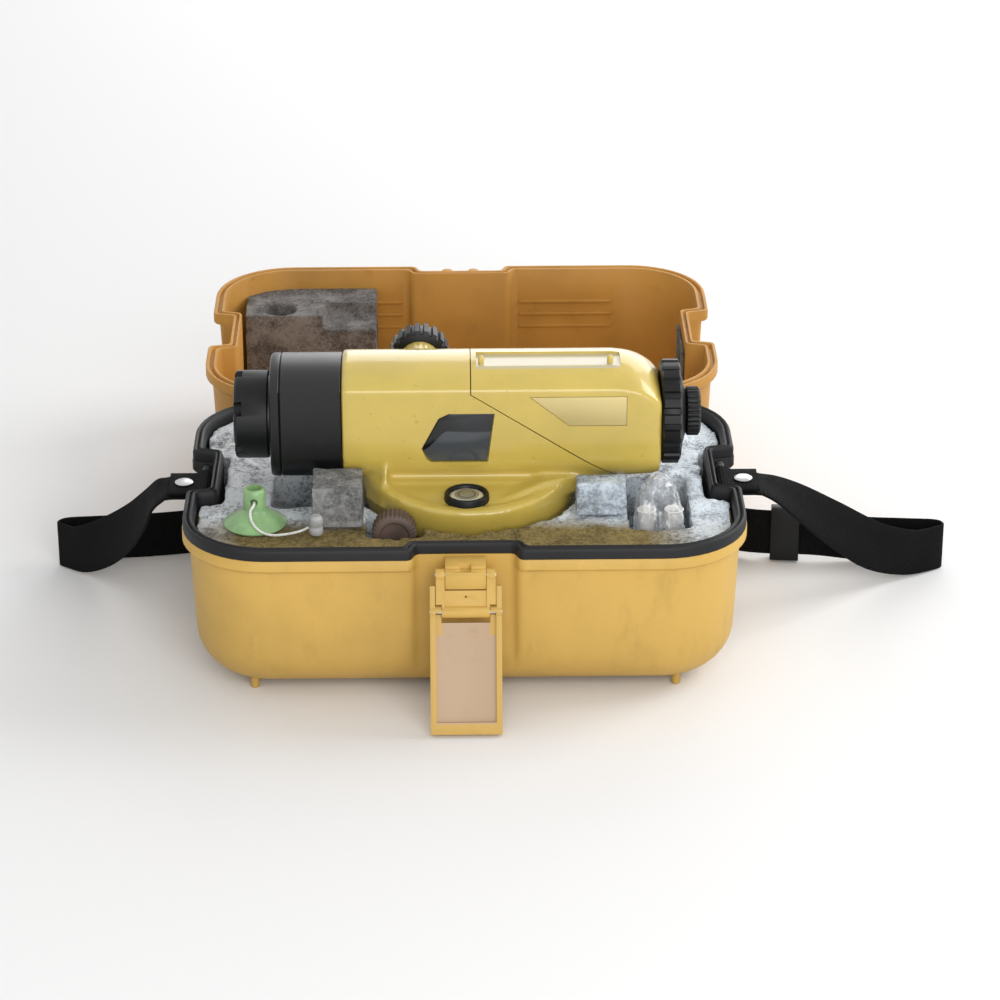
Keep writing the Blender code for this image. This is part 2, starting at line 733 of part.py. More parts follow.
def make_housing():
    """Main housing with its lower hull, and the rear cover that splits off."""
    housing = body_tube("main_housing", body_stations(), BODY_WALL)
    cut(housing, split_region("rear_part", GAP))
    hull = loft("hull", [
        ellipse(HULL_RX - 4.5, HULL_RY - 4, HULL_LOW),
        ellipse(HULL_RX - 2, HULL_RY - 2, HULL_LOW + 8),
        ellipse(HULL_RX, HULL_RY, 98.0),
        ellipse(HULL_RX - 0.4, HULL_RY - 0.4, 103.0),
        ellipse(HULL_RX - 3, HULL_RY - 3, SHELF_Z)])
    for sign in (-1, 1):
        cut(hull, shelf_fall("fall", sign))
    keel = loft("keel", [keel_ring(14.0, 50.0, 88.0, 100.5),
                         keel_ring(30.0, 45.0, 89.0, 104.0),
                         keel_ring(47.0, 37.0, 91.0, 108.0),
                         keel_ring(62.0, 30.0, 95.0, 108.0),
                         keel_ring(84.0, 22.0, 100.5, 107.0)])
    join(hull, keel)
    cheek = loft("cheek", [cheek_ring(40.0, 93.0), cheek_ring(38.0, 101.0),
                           cheek_ring(33.5, 110.0), cheek_ring(29.0, 120.0)])
    join(hull, cheek)
    cut(hull, loft("inside", [body_section(BODY_WALL / 2, BODY_X0 - 1),
                              body_section(BODY_WALL / 2, SPLIT_END_X)]))
    join(housing, hull)
    upright = (LEVEL_X, LEVEL_Y)
    cut(housing, rod("cavity", "z", upright, HULL_CAVITY_R, HULL_LOW - 5,
                     HULL_CAVITY_TOP, 32))
    cut(housing, rod("seat", "z", (BUBBLE_X, BUBBLE_Y), BEZEL_R + GAP,
                     BUBBLE_Z - 5.0, SHELF_Z + 12, 28))
    join(housing, rod("boss", "y", (FOCUS_X, FOCUS_Z), 13.0, 18.0, 29.6, 28))
    cut(housing, rod("drill", "y", (FOCUS_X, FOCUS_Z), SHAFT_R + GAP, 10, 32, 16))
    for sign in (-1, 1):
        a, b = sorted((LEVEL_Y + sign * 20, LEVEL_Y + sign * TANGENT_IN))
        cut(housing, rod("drill", "y", (TANGENT_X, TANGENT_Z), SHAFT_R + GAP,
                         a, b, 16))
    wall = LEVEL_Y - BODY_HALF
    cut(housing, window("window", 0.0, wall - 4, wall + 3.6))
    dress(housing, "level_paint")

    cover = body_tube("rear_cover", body_stations(), BODY_WALL)
    keep(cover, split_region("rear_part", 0.0))
    cut(cover, box("groove", SPLIT_X + 3, SPLIT_END_X - 2, LEVEL_Y - 13, LEVEL_Y + 5,
                   BODY_TOP - 2.2, BODY_TOP + 5))
    cut(cover, plate_shape("label_room", GAP, wall - 3, wall + 0.9))
    for x in (SPLIT_X + 6.0, SPLIT_END_X - 8.0):
        join(cover, lathe("sight_peg", "z", (x, LEVEL_Y - 8),
                          [(1.8, BODY_TOP - 3.2), (1.8, BODY_TOP + 1.6),
                           (1.0, BODY_TOP + 2.6)], 16))
    dress(cover, "level_paint")

    glass = window("bubble_mirror", 0.6, wall + 1.2, wall + 3.3)
    dress(glass, "mirror_glass", smooth=False)
    label = plate_shape("name_plate", 0.0, wall - 0.2, wall + 0.6)
    dress(label, "level_paint", smooth=False)


def window(name, shrink, y0, y1):
    """The five-sided viewing window in the near side of the body."""
    s = shrink
    outline = [(-25 + s, 127 - s), (-22 + s, 120 + s), (-19 + s, 118 + s),
               (14 - s, 118 + s), (18 - s, 149 - s), (-9 + s, 149 - s),
               (-15 + s, 146 - s)]
    return loft(name, [[(x, y, z) for x, z in outline] for y in (y0, y1)])


def plate_shape(name, grow, y0, y1):
    """The label's outline: a rectangle with a sloping left end."""
    g = grow
    outline = [(39 - 3 * g, 159 + g), (95 + g, 159 + g), (95 + g, 141 - g),
               (62 - 3 * g, 141 - g)]
    return loft(name, [[(x, y, z) for x, z in outline] for y in (y0, y1)])


def make_telescope():
    """Barrel, cap, eyepiece and the optics inside the body."""
    centre = (LEVEL_Y, AXIS_Z)
    barrel = body_tube("objective_barrel",
                       [(BARREL_X0, 0.8, 0.8), (BODY_X0 - GAP, 0.8, 0.8)], 5.0)
    dress(barrel, "black_paint")
    ring = loft("barrel_front_ring", [body_section(0.8, BARREL_X0 - GAP, 0.8),
                                      body_section(0.8, RING_X0 + 2, 0.8),
                                      body_section(2.4, RING_X0, 0.8)])
    join(ring, rod("tube", "x", centre, TUBE_R, TUBE_X0, RING_X0 + 1, 36))
    cut(ring, rod("bore", "x", centre, OBJECTIVE_R + GAP, TUBE_X0 - 3,
                  BODY_X0, 36))
    dress(ring, "black_paint")
    lens = lathe("objective_lens", "x", centre,
                 [(OBJECTIVE_R, -119.0), (OBJECTIVE_R, -114.0),
                  (OBJECTIVE_R * 0.6, -112.4)], 32)
    dress(lens, "glass")
    cap = lathe("lens_cap", "x", centre,
                [(CAP_R - 1.5, CAP_X0), (CAP_R, CAP_X0 + 1.5), (CAP_R, CAP_X1),
                 (TUBE_R + FIT, CAP_X1), (TUBE_R + FIT, TUBE_X0 - 1.0)], 40)
    for i in range(6):
        turn = math.pi * (i + 0.5) / 3
        y, z = (LEVEL_Y + CAP_R * math.cos(turn), AXIS_Z + CAP_R * math.sin(turn))
        cut(cap, rod("grip", "x", (y, z), 4.2, CAP_X0 - 2, TUBE_X0 - 3.2, 10))
    dress(cap, "black_plastic", (CAP_X0, LEVEL_Y, AXIS_Z))

    eye_ring = ribbed("eyepiece_ring", "x", centre, EYE_RING_R, 1.4,
                      BODY_X1 + GAP, EYE_RING_X1, 20, bore=12.0)
    dress(eye_ring, "black_plastic")
    cone = lathe("eyepiece_cone", "x", centre,
                 [(24.0, EYE_RING_X1 + GAP), (15.0, DIOPTER_X0 - GAP),
                  (8.5, DIOPTER_X0 - GAP), (8.5, DIOPTER_X1 - 2.5),
                  (6.5, DIOPTER_X1 - 2.5), (6.5, EYE_RING_X1 - 10),
                  (11.6, EYE_RING_X1 - 10), (11.6, EYE_RING_X1 + GAP)], 24, bore=True)
    dress(cone, "black_plastic")
    diopter = ribbed("diopter_ring", "x", centre, DIOPTER_R, 0.9, DIOPTER_X0,
                     DIOPTER_X1, 16, 8.8, SHARP_RIB)
    dress(diopter, "black_plastic", (DIOPTER_X0, LEVEL_Y, AXIS_Z))
    eye_lens = lathe("eyepiece_lens", "x", centre,
                     [(6.2, DIOPTER_X0), (6.2, DIOPTER_X0 + 3.5), (3.6, DIOPTER_X0 + 4.6)], 20)
    dress(eye_lens, "glass")
    reticle = lathe("reticle_cell", "x", centre,
                    [(20.0, 84.0), (20.0, 88.0), (9.0, 88.0), (9.0, 84.0)], 28,
                    bore=True)
    join(reticle, box("reticle_stand", 84.0, 88.0, LEVEL_Y - 6, LEVEL_Y + 6,
                      BODY_LOW + BODY_WALL + GAP, AXIS_Z - 15))
    dress(reticle, "alloy")
    glass = lathe("reticle_glass", "x", centre, [(8.7, 85.2), (8.7, 86.8)], 24)
    dress(glass, "glass")


def make_focus():
    """Knob and pinion outside, lens cell and rack inside."""
    at = (FOCUS_X, FOCUS_Z)
    knob = ribbed("focus_knob", "y", at, FOCUS_R, 1.6, FOCUS_Y0, FOCUS_Y1, 16)
    cut(knob, rod("socket", "y", at, SHAFT_R + GAP, FOCUS_Y0 - 2, 40, 16))
    origin = (FOCUS_X, FOCUS_Y0, FOCUS_Z)
    dress(knob, "black_plastic", origin)
    shaft = lathe("focus_pinion", "y", at,
                  [(PINION_R, -10.0), (PINION_R, 4.0), (SHAFT_R, 4.0),
                   (SHAFT_R, 39.0)], 20)
    dress(shaft, "brass", origin)
    centre = (LEVEL_Y, AXIS_Z)
    cell = lathe("focus_lens_cell", "x", centre,
                 [(CELL_R, -48.0), (CELL_R, -6.0), (8.4, -6.0), (8.4, -48.0)], 28,
                 bore=True)
    slide = (FOCUS_X, LEVEL_Y, AXIS_Z)
    dress(cell, "alloy", slide)
    lens = lathe("focus_lens", "x", centre, [(8.1, -29.0), (8.1, -25.0)], 24)
    dress(lens, "glass", slide)
    rack = box("focus_rack", -46.0, -8.0, LEVEL_Y - 2, LEVEL_Y + 8,
               AXIS_Z + CELL_R + GAP, FOCUS_Z - PINION_R - GAP)
    dress(rack, "brass", slide, smooth=False)
    sleeve = box("focus_guide", -62.0, 4.0, LEVEL_Y - 10, LEVEL_Y + 10,
                 BODY_LOW + BODY_WALL + GAP, AXIS_Z - 5)
    cut(sleeve, rod("track", "x", centre, CELL_R + GAP, -70, 10, 28))
    dress(sleeve, "alloy", smooth=False)


def make_compensator():
    """Hanging prism that keeps the line of sight level, and its frame."""
    frame = box("compensator_frame", 30.0, 66.0, LEVEL_Y - 14.5, LEVEL_Y + 14.5,
                BODY_LOW + BODY_WALL + 2 * GAP, AXIS_Z + 26)
    cut(frame, box("room", 25.0, 71.0, LEVEL_Y - 11.5, LEVEL_Y + 11.5, AXIS_Z - 24,
                   AXIS_Z + 21))
    pivot = (48.0, AXIS_Z + 16)
    cut(frame, rod("pivot", "y", pivot, 1.3 + GAP, LEVEL_Y - 30, LEVEL_Y + 30, 14))
    dress(frame, "alloy", smooth=False)
    swing = box("compensator_prism", 40.0, 56.0, LEVEL_Y - 9, LEVEL_Y + 9,
                AXIS_Z - 15, AXIS_Z + 12)
    for sy in (-1, 1):
        a, b = sorted((LEVEL_Y + sy * 9.6, LEVEL_Y + sy * 6.5))
        join(swing, box("hanger", 45.0, 51.0, a, b, AXIS_Z + 10, AXIS_Z + 19))
    cut(swing, rod("pivot", "y", pivot, 1.3 + GAP, LEVEL_Y - 30, LEVEL_Y + 30, 14))
    dress(swing, "glass", (pivot[0], LEVEL_Y, pivot[1]), smooth=False)
    pin = rod("compensator_pivot", "y", pivot, 1.3, LEVEL_Y - 14.2, LEVEL_Y + 14.2,
              14)
    dress(pin, "steel")


def make_bubble():
    """Circular level in the shelf of the lower housing."""
    at = (BUBBLE_X, BUBBLE_Y)
    low = BUBBLE_Z - 5.0 + GAP
    bezel = lathe("bubble_bezel", "z", at,
                  [(BEZEL_R, low), (BEZEL_R, BUBBLE_Z + 1.0),
                   (BEZEL_R - 1.2, BUBBLE_Z + 2.0), (BUBBLE_R + GAP, BUBBLE_Z + 1.2),
                   (BUBBLE_R + GAP, low)], 28, bore=True)
    dress(bezel, "black_plastic")
    vial = lathe("bubble_vial", "z", at,
                 [(BUBBLE_R, low), (BUBBLE_R, BUBBLE_Z),
                  (BUBBLE_R * 0.6, BUBBLE_Z + 0.8)], 28)
    dress(vial, "glass")


def make_slow_motion():
    """Tangent shaft with a knob at each side, and the ring it drives."""
    at = (TANGENT_X, TANGENT_Z)
    origin = (TANGENT_X, LEVEL_Y, TANGENT_Z)
    for name, sign in (("tangent_knob_near", -1), ("tangent_knob_far", 1)):
        a = LEVEL_Y + sign * (TANGENT_IN + GAP)
        b = LEVEL_Y + sign * TANGENT_OUT
        knob = ribbed(name, "y", at, TANGENT_R, 1.0, a, b, 18, 0.0, SHARP_RIB)
        c = LEVEL_Y + sign * (TANGENT_OUT - 7)
        low, high = sorted((a - sign * 2, c))
        cut(knob, rod("socket", "y", at, SHAFT_R + GAP, low, high, 16))
        dress(knob, "knob_brown", origin)
    reach = TANGENT_OUT - 8
    shaft = lathe("tangent_shaft", "y", at,
                  [(SHAFT_R, LEVEL_Y - reach), (SHAFT_R, LEVEL_Y + reach)], 16)
    dress(shaft, "steel", origin)


def trefoil(reach, pad, z, steps=36):
    """A three-armed plate outline round the level's upright axis."""
    ring = []
    for i in range(steps):
        turn = 2 * math.pi * i / steps
        size = reach - pad * (1 - math.cos(3 * (turn - math.pi / 2))) / 2
        ring.append((LEVEL_X + size * math.cos(turn),
                     LEVEL_Y + size * math.sin(turn), z))
    return ring


def screw_places():
    """Where the three footscrews stand."""
    spots = []
    for i in range(3):
        turn = math.pi / 2 + 2 * math.pi * i / 3
        spots.append((LEVEL_X + SCREW_REACH * math.cos(turn),
                      LEVEL_Y + SCREW_REACH * math.sin(turn)))
    return spots


def make_foot():
    """Spindle, circle, tribrach, footscrews and base plate."""
    upright = (LEVEL_X, LEVEL_Y)
    origin = (LEVEL_X, LEVEL_Y, TRIBRACH_Z0)
    tribrach = loft("tribrach", [trefoil(55.0, 12.0, TRIBRACH_Z0),
                                 trefoil(56.0, 12.0, TRIBRACH_Z0 + 2),
                                 trefoil(56.0, 12.0, TRIBRACH_Z1)])
    cut(tribrach, rod("seat", "z", upright, SPINDLE_R + GAP, TRIBRACH_Z0 - 2,
                      TRIBRACH_Z1 + 2, 24))
    plate = loft("base_plate", [trefoil(55.0, 9.0, BASE_Z0),
                                trefoil(56.0, 9.0, BASE_Z0 + 1.5),
                                trefoil(56.0, 9.0, BASE_Z1)])
    cut(plate, rod("tripod", "z", upright, TRIPOD_HOLE_R, BASE_Z0 - 2,
                   BASE_Z1 + 2, 28))
    for spot in screw_places():
        cut(tribrach, rod("drill", "z", spot, 4.0 + GAP, TRIBRACH_Z0 - 2,
                          TRIBRACH_Z1 - 2, 16))
        cut(plate, rod("dimple", "z", spot, 3.4, BASE_Z1 - 3, BASE_Z1 + 2, 16))
    dress(tribrach, "black_paint", origin)
    dress(plate, "alloy", origin)
    for number, spot in enumerate(screw_places(), 1):
        screw = ribbed(f"footscrew_{number}", "z", spot, SCREW_KNOB_R, 1.0, 50.0,
                       60.0, 14, 0.0, SHARP_RIB)
        stem = lathe("stem", "z", spot,
                     [(3.0, BASE_Z1 - 3 + GAP), (3.0, 47.0), (4.0, 48.0),
                      (4.0, TRIBRACH_Z1 - 2 - GAP)], 16)
        join(screw, stem)
        dress(screw, "black_plastic", (*spot, 50.0))
    spindle = lathe("spindle", "z", upright,
                    [(SPINDLE_R, TRIBRACH_Z0), (SPINDLE_R, CIRCLE_Z - 2.5),
                     (SPINDLE_R + 4, CIRCLE_Z - 2.5),
                     (SPINDLE_R + 4, CIRCLE_Z - GAP), (SPINDLE_R - 1, CIRCLE_Z - GAP),
                     (SPINDLE_R - 2, HULL_CAVITY_TOP - 1)], 24)
    dress(spindle, "steel", origin)
    bush = lathe("bearing_bush", "z", upright,
                 [(15.0, 87.5), (15.0, HULL_CAVITY_TOP - GAP),
                  (SPINDLE_R - 0.7, HULL_CAVITY_TOP - GAP),
                  (SPINDLE_R - 0.7, 87.5)], 24, bore=True)
    dress(bush, "brass")
    circle = lathe("horizontal_circle", "z", upright,
                   [(CIRCLE_R, CIRCLE_Z), (CIRCLE_R, CIRCLE_Z + CIRCLE_T),
                    (SPINDLE_R - 0.7, CIRCLE_Z + CIRCLE_T),
                    (SPINDLE_R - 0.7, CIRCLE_Z)], 28, bore=True)
    dress(circle, "alloy", origin)
    drive = lathe("drive_ring", "z", upright,
                  [(DRIVE_R, CIRCLE_Z + CIRCLE_T + GAP), (DRIVE_R, 97.0),
                   (SPINDLE_R + 8, 97.0),
                   (SPINDLE_R + 8, CIRCLE_Z + CIRCLE_T + GAP)], 28, bore=True)
    dress(drive, "brass", origin)


def ribbon(name, path, half, thick):
    """A flat strap through (point, width direction) stations."""
    rings = []
    for i, (point, across) in enumerate(path):
        here = Vector(point)
        before = Vector(path[max(i - 1, 0)][0])
        after = Vector(path[min(i + 1, len(path) - 1)][0])
        run = (after - before).normalized()
        wide = Vector(across)
        wide = (wide - run * wide.dot(run)).normalized()
        flat = run.cross(wide)
        ring = []
        for a, b in ((-1, -1), (1, -1), (1, 1), (-1, 1)):
            ring.append(tuple(here + wide * (a * half) + flat * (b * thick / 2)))
        rings.append(ring)
    return loft(name, rings)


def strap_loop(side):
    """The strap's end, folded back round its bar; side is 1 or -1."""
    flat = (0, 1, 0)
    path = [((side * (RIVET_X + 9.0), NOTCH_Y, BAR_Z + 1.3), flat),
            ((side * RIVET_X, NOTCH_Y, BAR_Z + 1.3), flat),
            ((side * (BAR_X + 5.8), NOTCH_Y, BAR_Z + 1.3), flat)]
    for i in range(7):
        turn = math.pi / 2 + math.pi * i / 6
        path.append(((side * (BAR_X + LOOP_R * math.cos(turn)), NOTCH_Y,
                      BAR_Z + LOOP_R * math.sin(turn)), flat))
    for x in (BAR_X + 5.8, RIVET_X, RIVET_X + 6.6):
        path.append(((side * x, NOTCH_Y, BAR_Z - 1.3), flat))
    return path


def curve_through(points, steps):
    """Points on a smooth curve through the given ones."""
    result = []
    for i in range(len(points) - 1):
        p0 = Vector(points[max(i - 1, 0)])
        p1 = Vector(points[i])
        p2 = Vector(points[i + 1])
        p3 = Vector(points[min(i + 2, len(points) - 1)])
        for k in range(steps):
            t = k / steps
            result.append(0.5 * ((2 * p1) + (p2 - p0) * t
                          + (2 * p0 - 5 * p1 + 4 * p2 - p3) * t * t
                          + (3 * p1 - p0 - 3 * p2 + p3) * t * t * t))
    result.append(Vector(points[-1]))
    return result


def strap_path():
    """Whole route of the strap, from its right end behind the case to its left."""
    edge = FLOOR + STRAP_HALF + GAP
    out = CASE_W / 2
    back = CASE_BACK + STRAP_CLEAR
    right = [(out + 13.0, NOTCH_Y, BAR_Z - 1.6), (out + 24.0, 3.0, 79.0),
             (out + 40.0, 9.0, 67.0), (out + 63.0, 21.0, 47.0),
             (out + 89.0, 37.0, 25.0), (out + 113.0, 52.0, 13.0),
             (out + 131.0, 63.0, edge + 0.4)]
    turn = [(out + 136.0, 68.5, edge), (out + 132.0, 74.0, edge),
            (out + 115.0, 76.0, edge), (out + 85.0, 77.0, edge + 1),
            (out + 57.0, 78.0, edge + 4), (out + 21.0, 82.0, edge + 4),
            (out + 1.0, back - 16.0, edge + 1), (out - 19.0, back - 3.0, edge),
            (out - 55.0, back, edge), (50.0, back, edge), (-50.0, back, edge),
            (55.0 - out, back, edge), (19.0 - out, back - 3.0, edge),
            (-out - 5.0, back - 14.0, edge), (-out - 35.0, 92.0, edge),
            (-out - 67.0, 89.0, edge), (-out - 85.0, 87.0, edge),
            (-out - 90.0, 81.5, edge)]
    left = [(-out - 86.0, 76.5, edge + 0.4), (-out - 75.0, 66.0, 13.0),
            (-out - 59.0, 50.0, 25.0), (-out - 42.0, 30.0, 44.0),
            (-out - 29.0, 13.0, 64.0), (-out - 21.0, 4.0, 78.0),
            (-out - 13.0, NOTCH_Y, BAR_Z - 1.6)]
    points = right + turn + left
    smooth = curve_through(points, 2)
    count = len(smooth)
    first = 2 * (len(right) - 2)
    last = count - 1 - first
    path = []
    for i, point in enumerate(smooth):
        share = min(min(i, count - 1 - i) / first, 1.0)
        lean = math.pi / 2 * (3 * share ** 2 - 2 * share ** 3)
        sign = 1.0 if i <= count / 2 else -1.0
        flip_width = 1.0 if i < first else (-1.0 if i > last else 0.0)
        across = (0.0, flip_width * sign * math.cos(lean), math.sin(lean))
        path.append((tuple(point), across))
    return path


def make_strap():
    """Webbing strap, its bars, rivets and slider."""
    start = strap_loop(1)
    middle = strap_path()
    finish = list(reversed(strap_loop(-1)))
    strap = ribbon("shoulder_strap", start + middle + finish, STRAP_HALF, STRAP_T)
    for side in (-1, 1):
        spot = (side * RIVET_X, NOTCH_Y)
        cut(strap, rod("hole", "z", spot, 2.2 + GAP, BAR_Z - 6, BAR_Z + 8, 14))
    dress(strap, "webbing", smooth=False)
    for side, word in ((-1, "left"), (1, "right")):
        spot = (side * RIVET_X, NOTCH_Y)
        rivet = lathe(f"strap_rivet_{word}", "z", spot,
                      [(RIVET_R, BAR_Z - 3.9), (RIVET_R, BAR_Z - 2.5),
                       (2.2, BAR_Z - 2.5), (2.2, BAR_Z + 2.5),
                       (RIVET_R, BAR_Z + 2.5), (RIVET_R, BAR_Z + 3.2),
                       (RIVET_R * 0.7, BAR_Z + 4.0)], 20)
        dress(rivet, "steel")
        bar = rod(f"strap_bar_{word}", "y", (side * BAR_X, BAR_Z), BAR_R,
                  NOTCH_Y - NOTCH_HALF - 0.2, NOTCH_Y + NOTCH_HALF + 0.2, 16)
        dress(bar, "steel")
    low = FLOOR + STRAP_HALF + GAP + 4
    up = (0, 0, 1)
    out = CASE_W / 2
    run = [((out + 47.0, 78.9, low), up), ((out + 29.0, 80.8, low), up)]
    clear_run = [((out + 57.0, 77.8, low), up), ((out + 19.0, 81.9, low), up)]
    slider = ribbon("strap_slider", run, STRAP_HALF + 3.4, 8.0)
    cut(slider, ribbon("throat", clear_run, STRAP_HALF + 0.8, 4.2))
    dress(slider, "black_plastic", smooth=False)


def make_accessories():
    """Suction cup with its cord and toggle, and a small bag of spares."""
    at = (CUP_X, CUP_Y)
    low = FOAM_TOP + GAP
    cup = lathe("suction_cup", "z", at,
                [(CUP_R - 0.6, low), (CUP_R, low + 1.2), (14.0, low + 4.5),
                 (9.0, low + 7.6), (CUP_NECK_R, low + 9.5),
                 (CUP_NECK_R, CUP_TOP - 0.8), (CUP_NECK_R - 0.8, CUP_TOP)], 22)
    cut(cup, rod("eyelet", "y", (CUP_X, 108.5), 2.2, CUP_Y - 9, CUP_Y + 9, 14))
    dress(cup, "cup_green")
    points = [(CUP_X, CUP_Y - 5.0, 108.0), (CUP_X, CUP_Y - 8.0, 107.6),
              (CUP_X - 2.0, CUP_Y - 10.5, 104.5), (CUP_X - 1.0, CUP_Y - 14.0, 99.5),
              (CUP_X + 4.0, CUP_Y - 18.0, 95.4), (CUP_X + 11.0, CUP_Y - 19.0, 93.6),
              (CUP_X + 20.0, CUP_Y - 17.0, 93.4), (CUP_X + 27.0, CUP_Y - 14.0, 93.8),
              (CUP_X + 31.6, CUP_Y - 15.0, 96.5)]
    cord = tube_along("cup_cord", curve_through(points, 3), CORD_R)
    dress(cord, "cord_white")
    toggle = lathe("cord_toggle", "z", (CUP_X + 36.0, CUP_Y - 15.5),
                   [(3.4, low), (4.0, low + 1.0), (4.0, low + 10.0),
                    (2.8, low + 12.0)], 18)
    dress(toggle, "grey_plastic")
    x0, x1, y0, y1, z0 = POCKET
    rings = []
    for z, shrink in ((z0 + GAP, 3.0), (z0 + 8, 1.5), (82.0, 2.0), (94.0, 4.0),
                      (104.0, 7.0), (112.0, 10.5), (116.0, 14.0)):
        side = shrink * ((x1 - x0) / BAG_WIDE)
        rings.append([(x0 + side, y0 + shrink, z), (x1 - side, y0 + shrink, z),
                      (x1 - side, -30.0 - shrink, z),
                      (x0 + side, -30.0 - shrink, z)])
    dress(loft("spares_bag", rings), "clear_film", smooth=False)


def tube_along(name, points, radius, sides=6):
    """A round cord along a list of points, with flat ends."""
    rings = []
    for i, here in enumerate(points):
        before = points[max(i - 1, 0)]
        after = points[min(i + 1, len(points) - 1)]
        run = (after - before).normalized()
        wide = run.cross(Vector((0.23, 0.31, 0.92))).normalized()
        tall = run.cross(wide)
        ring = []
        for k in range(sides):
            turn = 2 * math.pi * k / sides
            ring.append(tuple(here + wide * (radius * math.cos(turn))
                              + tall * (radius * math.sin(turn))))
        rings.append(ring)
    return loft(name, rings)


def build():
    """Make every piece of the kit."""
    clear_scene()
    make_tub()
    make_seal()
    make_lid()
    make_hinge_pin()
    make_latch()
    make_foam()
    make_lid_foam()
    make_housing()
    make_telescope()
    make_focus()
    make_compensator()
    make_bubble()
    make_slow_motion()
    make_foot()
    make_strap()
    make_accessories()


build()
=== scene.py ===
"""Looks of an automatic level lying in its open carrying case.

Sizes are in millimetres and become metres when a mesh is made. The frame's
origin is the centre of the case's underside, +Z is up and -Y faces the camera.
"""
import math

import bmesh
import bpy
from bpy.props import FloatProperty, FloatVectorProperty, PointerProperty
from mathutils import Matrix, Vector, noise


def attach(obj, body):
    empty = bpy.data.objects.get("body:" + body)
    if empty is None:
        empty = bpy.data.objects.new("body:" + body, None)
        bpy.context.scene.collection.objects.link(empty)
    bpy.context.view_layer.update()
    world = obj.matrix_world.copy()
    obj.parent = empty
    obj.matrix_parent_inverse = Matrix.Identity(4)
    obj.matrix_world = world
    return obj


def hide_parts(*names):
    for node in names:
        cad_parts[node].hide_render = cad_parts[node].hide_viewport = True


bl_info = {
    "name": "Automatic level in its case",
    "version": (1, 0, 0),
    "blender": (4, 5, 0),
    "location": "View3D > Sidebar > Level kit",
    "description": "Dresses the case, foam, strap and level of a surveyor's kit",
    "category": "Object",
}

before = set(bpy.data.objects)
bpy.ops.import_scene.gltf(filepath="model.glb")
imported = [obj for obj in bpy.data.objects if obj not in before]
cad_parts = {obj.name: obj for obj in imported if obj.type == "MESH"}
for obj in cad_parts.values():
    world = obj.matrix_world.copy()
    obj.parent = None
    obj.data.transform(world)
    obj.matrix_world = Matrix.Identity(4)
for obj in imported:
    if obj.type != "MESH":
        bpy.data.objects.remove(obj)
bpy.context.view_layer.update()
MM = 0.001

# carrying case
CASE_W = 330.0
CASE_HALF = CASE_W / 2
CASE_FRONT = 112.5
CASE_BACK = 108.0
CORNER_R = 51.0
NOTCH_DEPTH = 14.0
NOTCH_HALF = 25.0
NOTCH_Y = 1.0
NOTCH_SLOPE = 3.0
NOTCH_WALL = 5.0
RECESS_DEPTH = 9.0
RECESS_HALF = 28.0
WALL = 3.0
RIM_W = 7.0
FLANGE_LIP = 4.0
FLANGE_H = 8.0
FLANGE_TOP = 90.0
DRAFT = 0.0435
FILLET_R = 29.0
LID_H = 96.0
SEAL_TOP = 97.0
SEAL_LOW = 90.3
FLOOR = -5.0
FOOT_R = 2.6
FOOT_X = CASE_HALF - 41.0
FOOT_Y = CASE_FRONT - 28.5
HINGE_Y = 112.2
HINGE_Z = 97.15
KNUCKLE_R = 3.6
KNUCKLE_X = 70.0
KNUCKLE_TUB = 20.0
KNUCKLE_LID = 12.0
LID_RIM = SEAL_TOP + 0.3
LID_INNER = -CASE_FRONT + FLANGE_LIP + WALL
LID_RIBS = tuple(LID_RIM + 22.0 + 9.0 * rib for rib in range(3))
LID_RIB_X = (40.0, 104.0)
RECESS_FACE = -CASE_FRONT + RECESS_DEPTH

# latch
LINK_PIN = (-118.0, 84.0)
LEVER_PIN = (-125.0, 64.0)
LEVER_TIP = (-146.5, -3.6)
LATCH_EYE_R = 3.6
LATCH_BLOCK_HALF = 11.6
LINK_HALF = 17.0
LINK_BOW = 13.6
LINK_WEB = 9.0 / 21.2
LEVER_HALF = 20.5
LEVER_T = 6.0
PANEL_DEPTH = 2.64
PANEL_SIDE = 3.2
PANEL_FOOT = 7
PIN_ROOM = 1.8
DRILL_REACH = 30

# foam
FOAM_TOP = 92.0
CUT_TOP = FOAM_TOP + 9
ON_FOAM = FOAM_TOP + 0.3
FOAM_NOTCH = 2.5
FOAM_SLACK = 0.5
WELL_R = 67.0
WELL_FLOOR = 30.0
LEDGE_R = 57.4
LEDGE_Z = 78.6
PILLAR_LEFT = (-89.0, -59.0, -72.0, -40.5, 117.0)
PILLAR_RIGHT = (65.0, 95.0, -58.0, -41.0, 112.5)
POCKET = (97.0, 132.0, -72.0, 0.0, 62.0)
HOLLOW = (-113.0, -90.5, -39.0, 6.0, 74.0)
LID_BLOCK_X = (-146.0, -57.0)
LID_BLOCK_BACK = -53.5
LID_BLOCK_LOW = 109.3

# level
LEVEL_X = 3.0
LEVEL_Y = -8.0
AXIS_Z = 137.0
BODY_HALF = 30.0
BODY_LOW = 103.0
BODY_TOP = 173.8
ARCH_R = 50.0
BODY_CORNER_R = 18.0
BODY_WALL = 6.0
BODY_X0 = -71.5
BODY_X1 = 116.0
SPLIT_X = 4.3
SPLIT_Z = 161.0
SPLIT_END_X = 94.0
SPLIT_END_Z = 104.0
BARREL_X0 = -107.5
BARREL_DROP = 0.8
BARREL_BORE = 19.3
RING_X0 = -113.6
TUBE_R = 23.0
TUBE_X0 = -127.0
CAP_X0 = -135.0
CAP_X1 = -115.0
CAP_R = 26.0
CAP_GRIPS = 6
CAP_GRIP_R = 4.2
EYE_RING_R = 31.0
EYE_RING_X1 = 128.0
DIOPTER_R = 14.6
DIOPTER_X0 = 131.0
DIOPTER_X1 = 140.0
FOCUS = (-26.0, 155.0)
FOCUS_R = 18.0
FOCUS_Y0 = 30.5
FOCUS_Y1 = 46.0
HULL_RX = 65.0
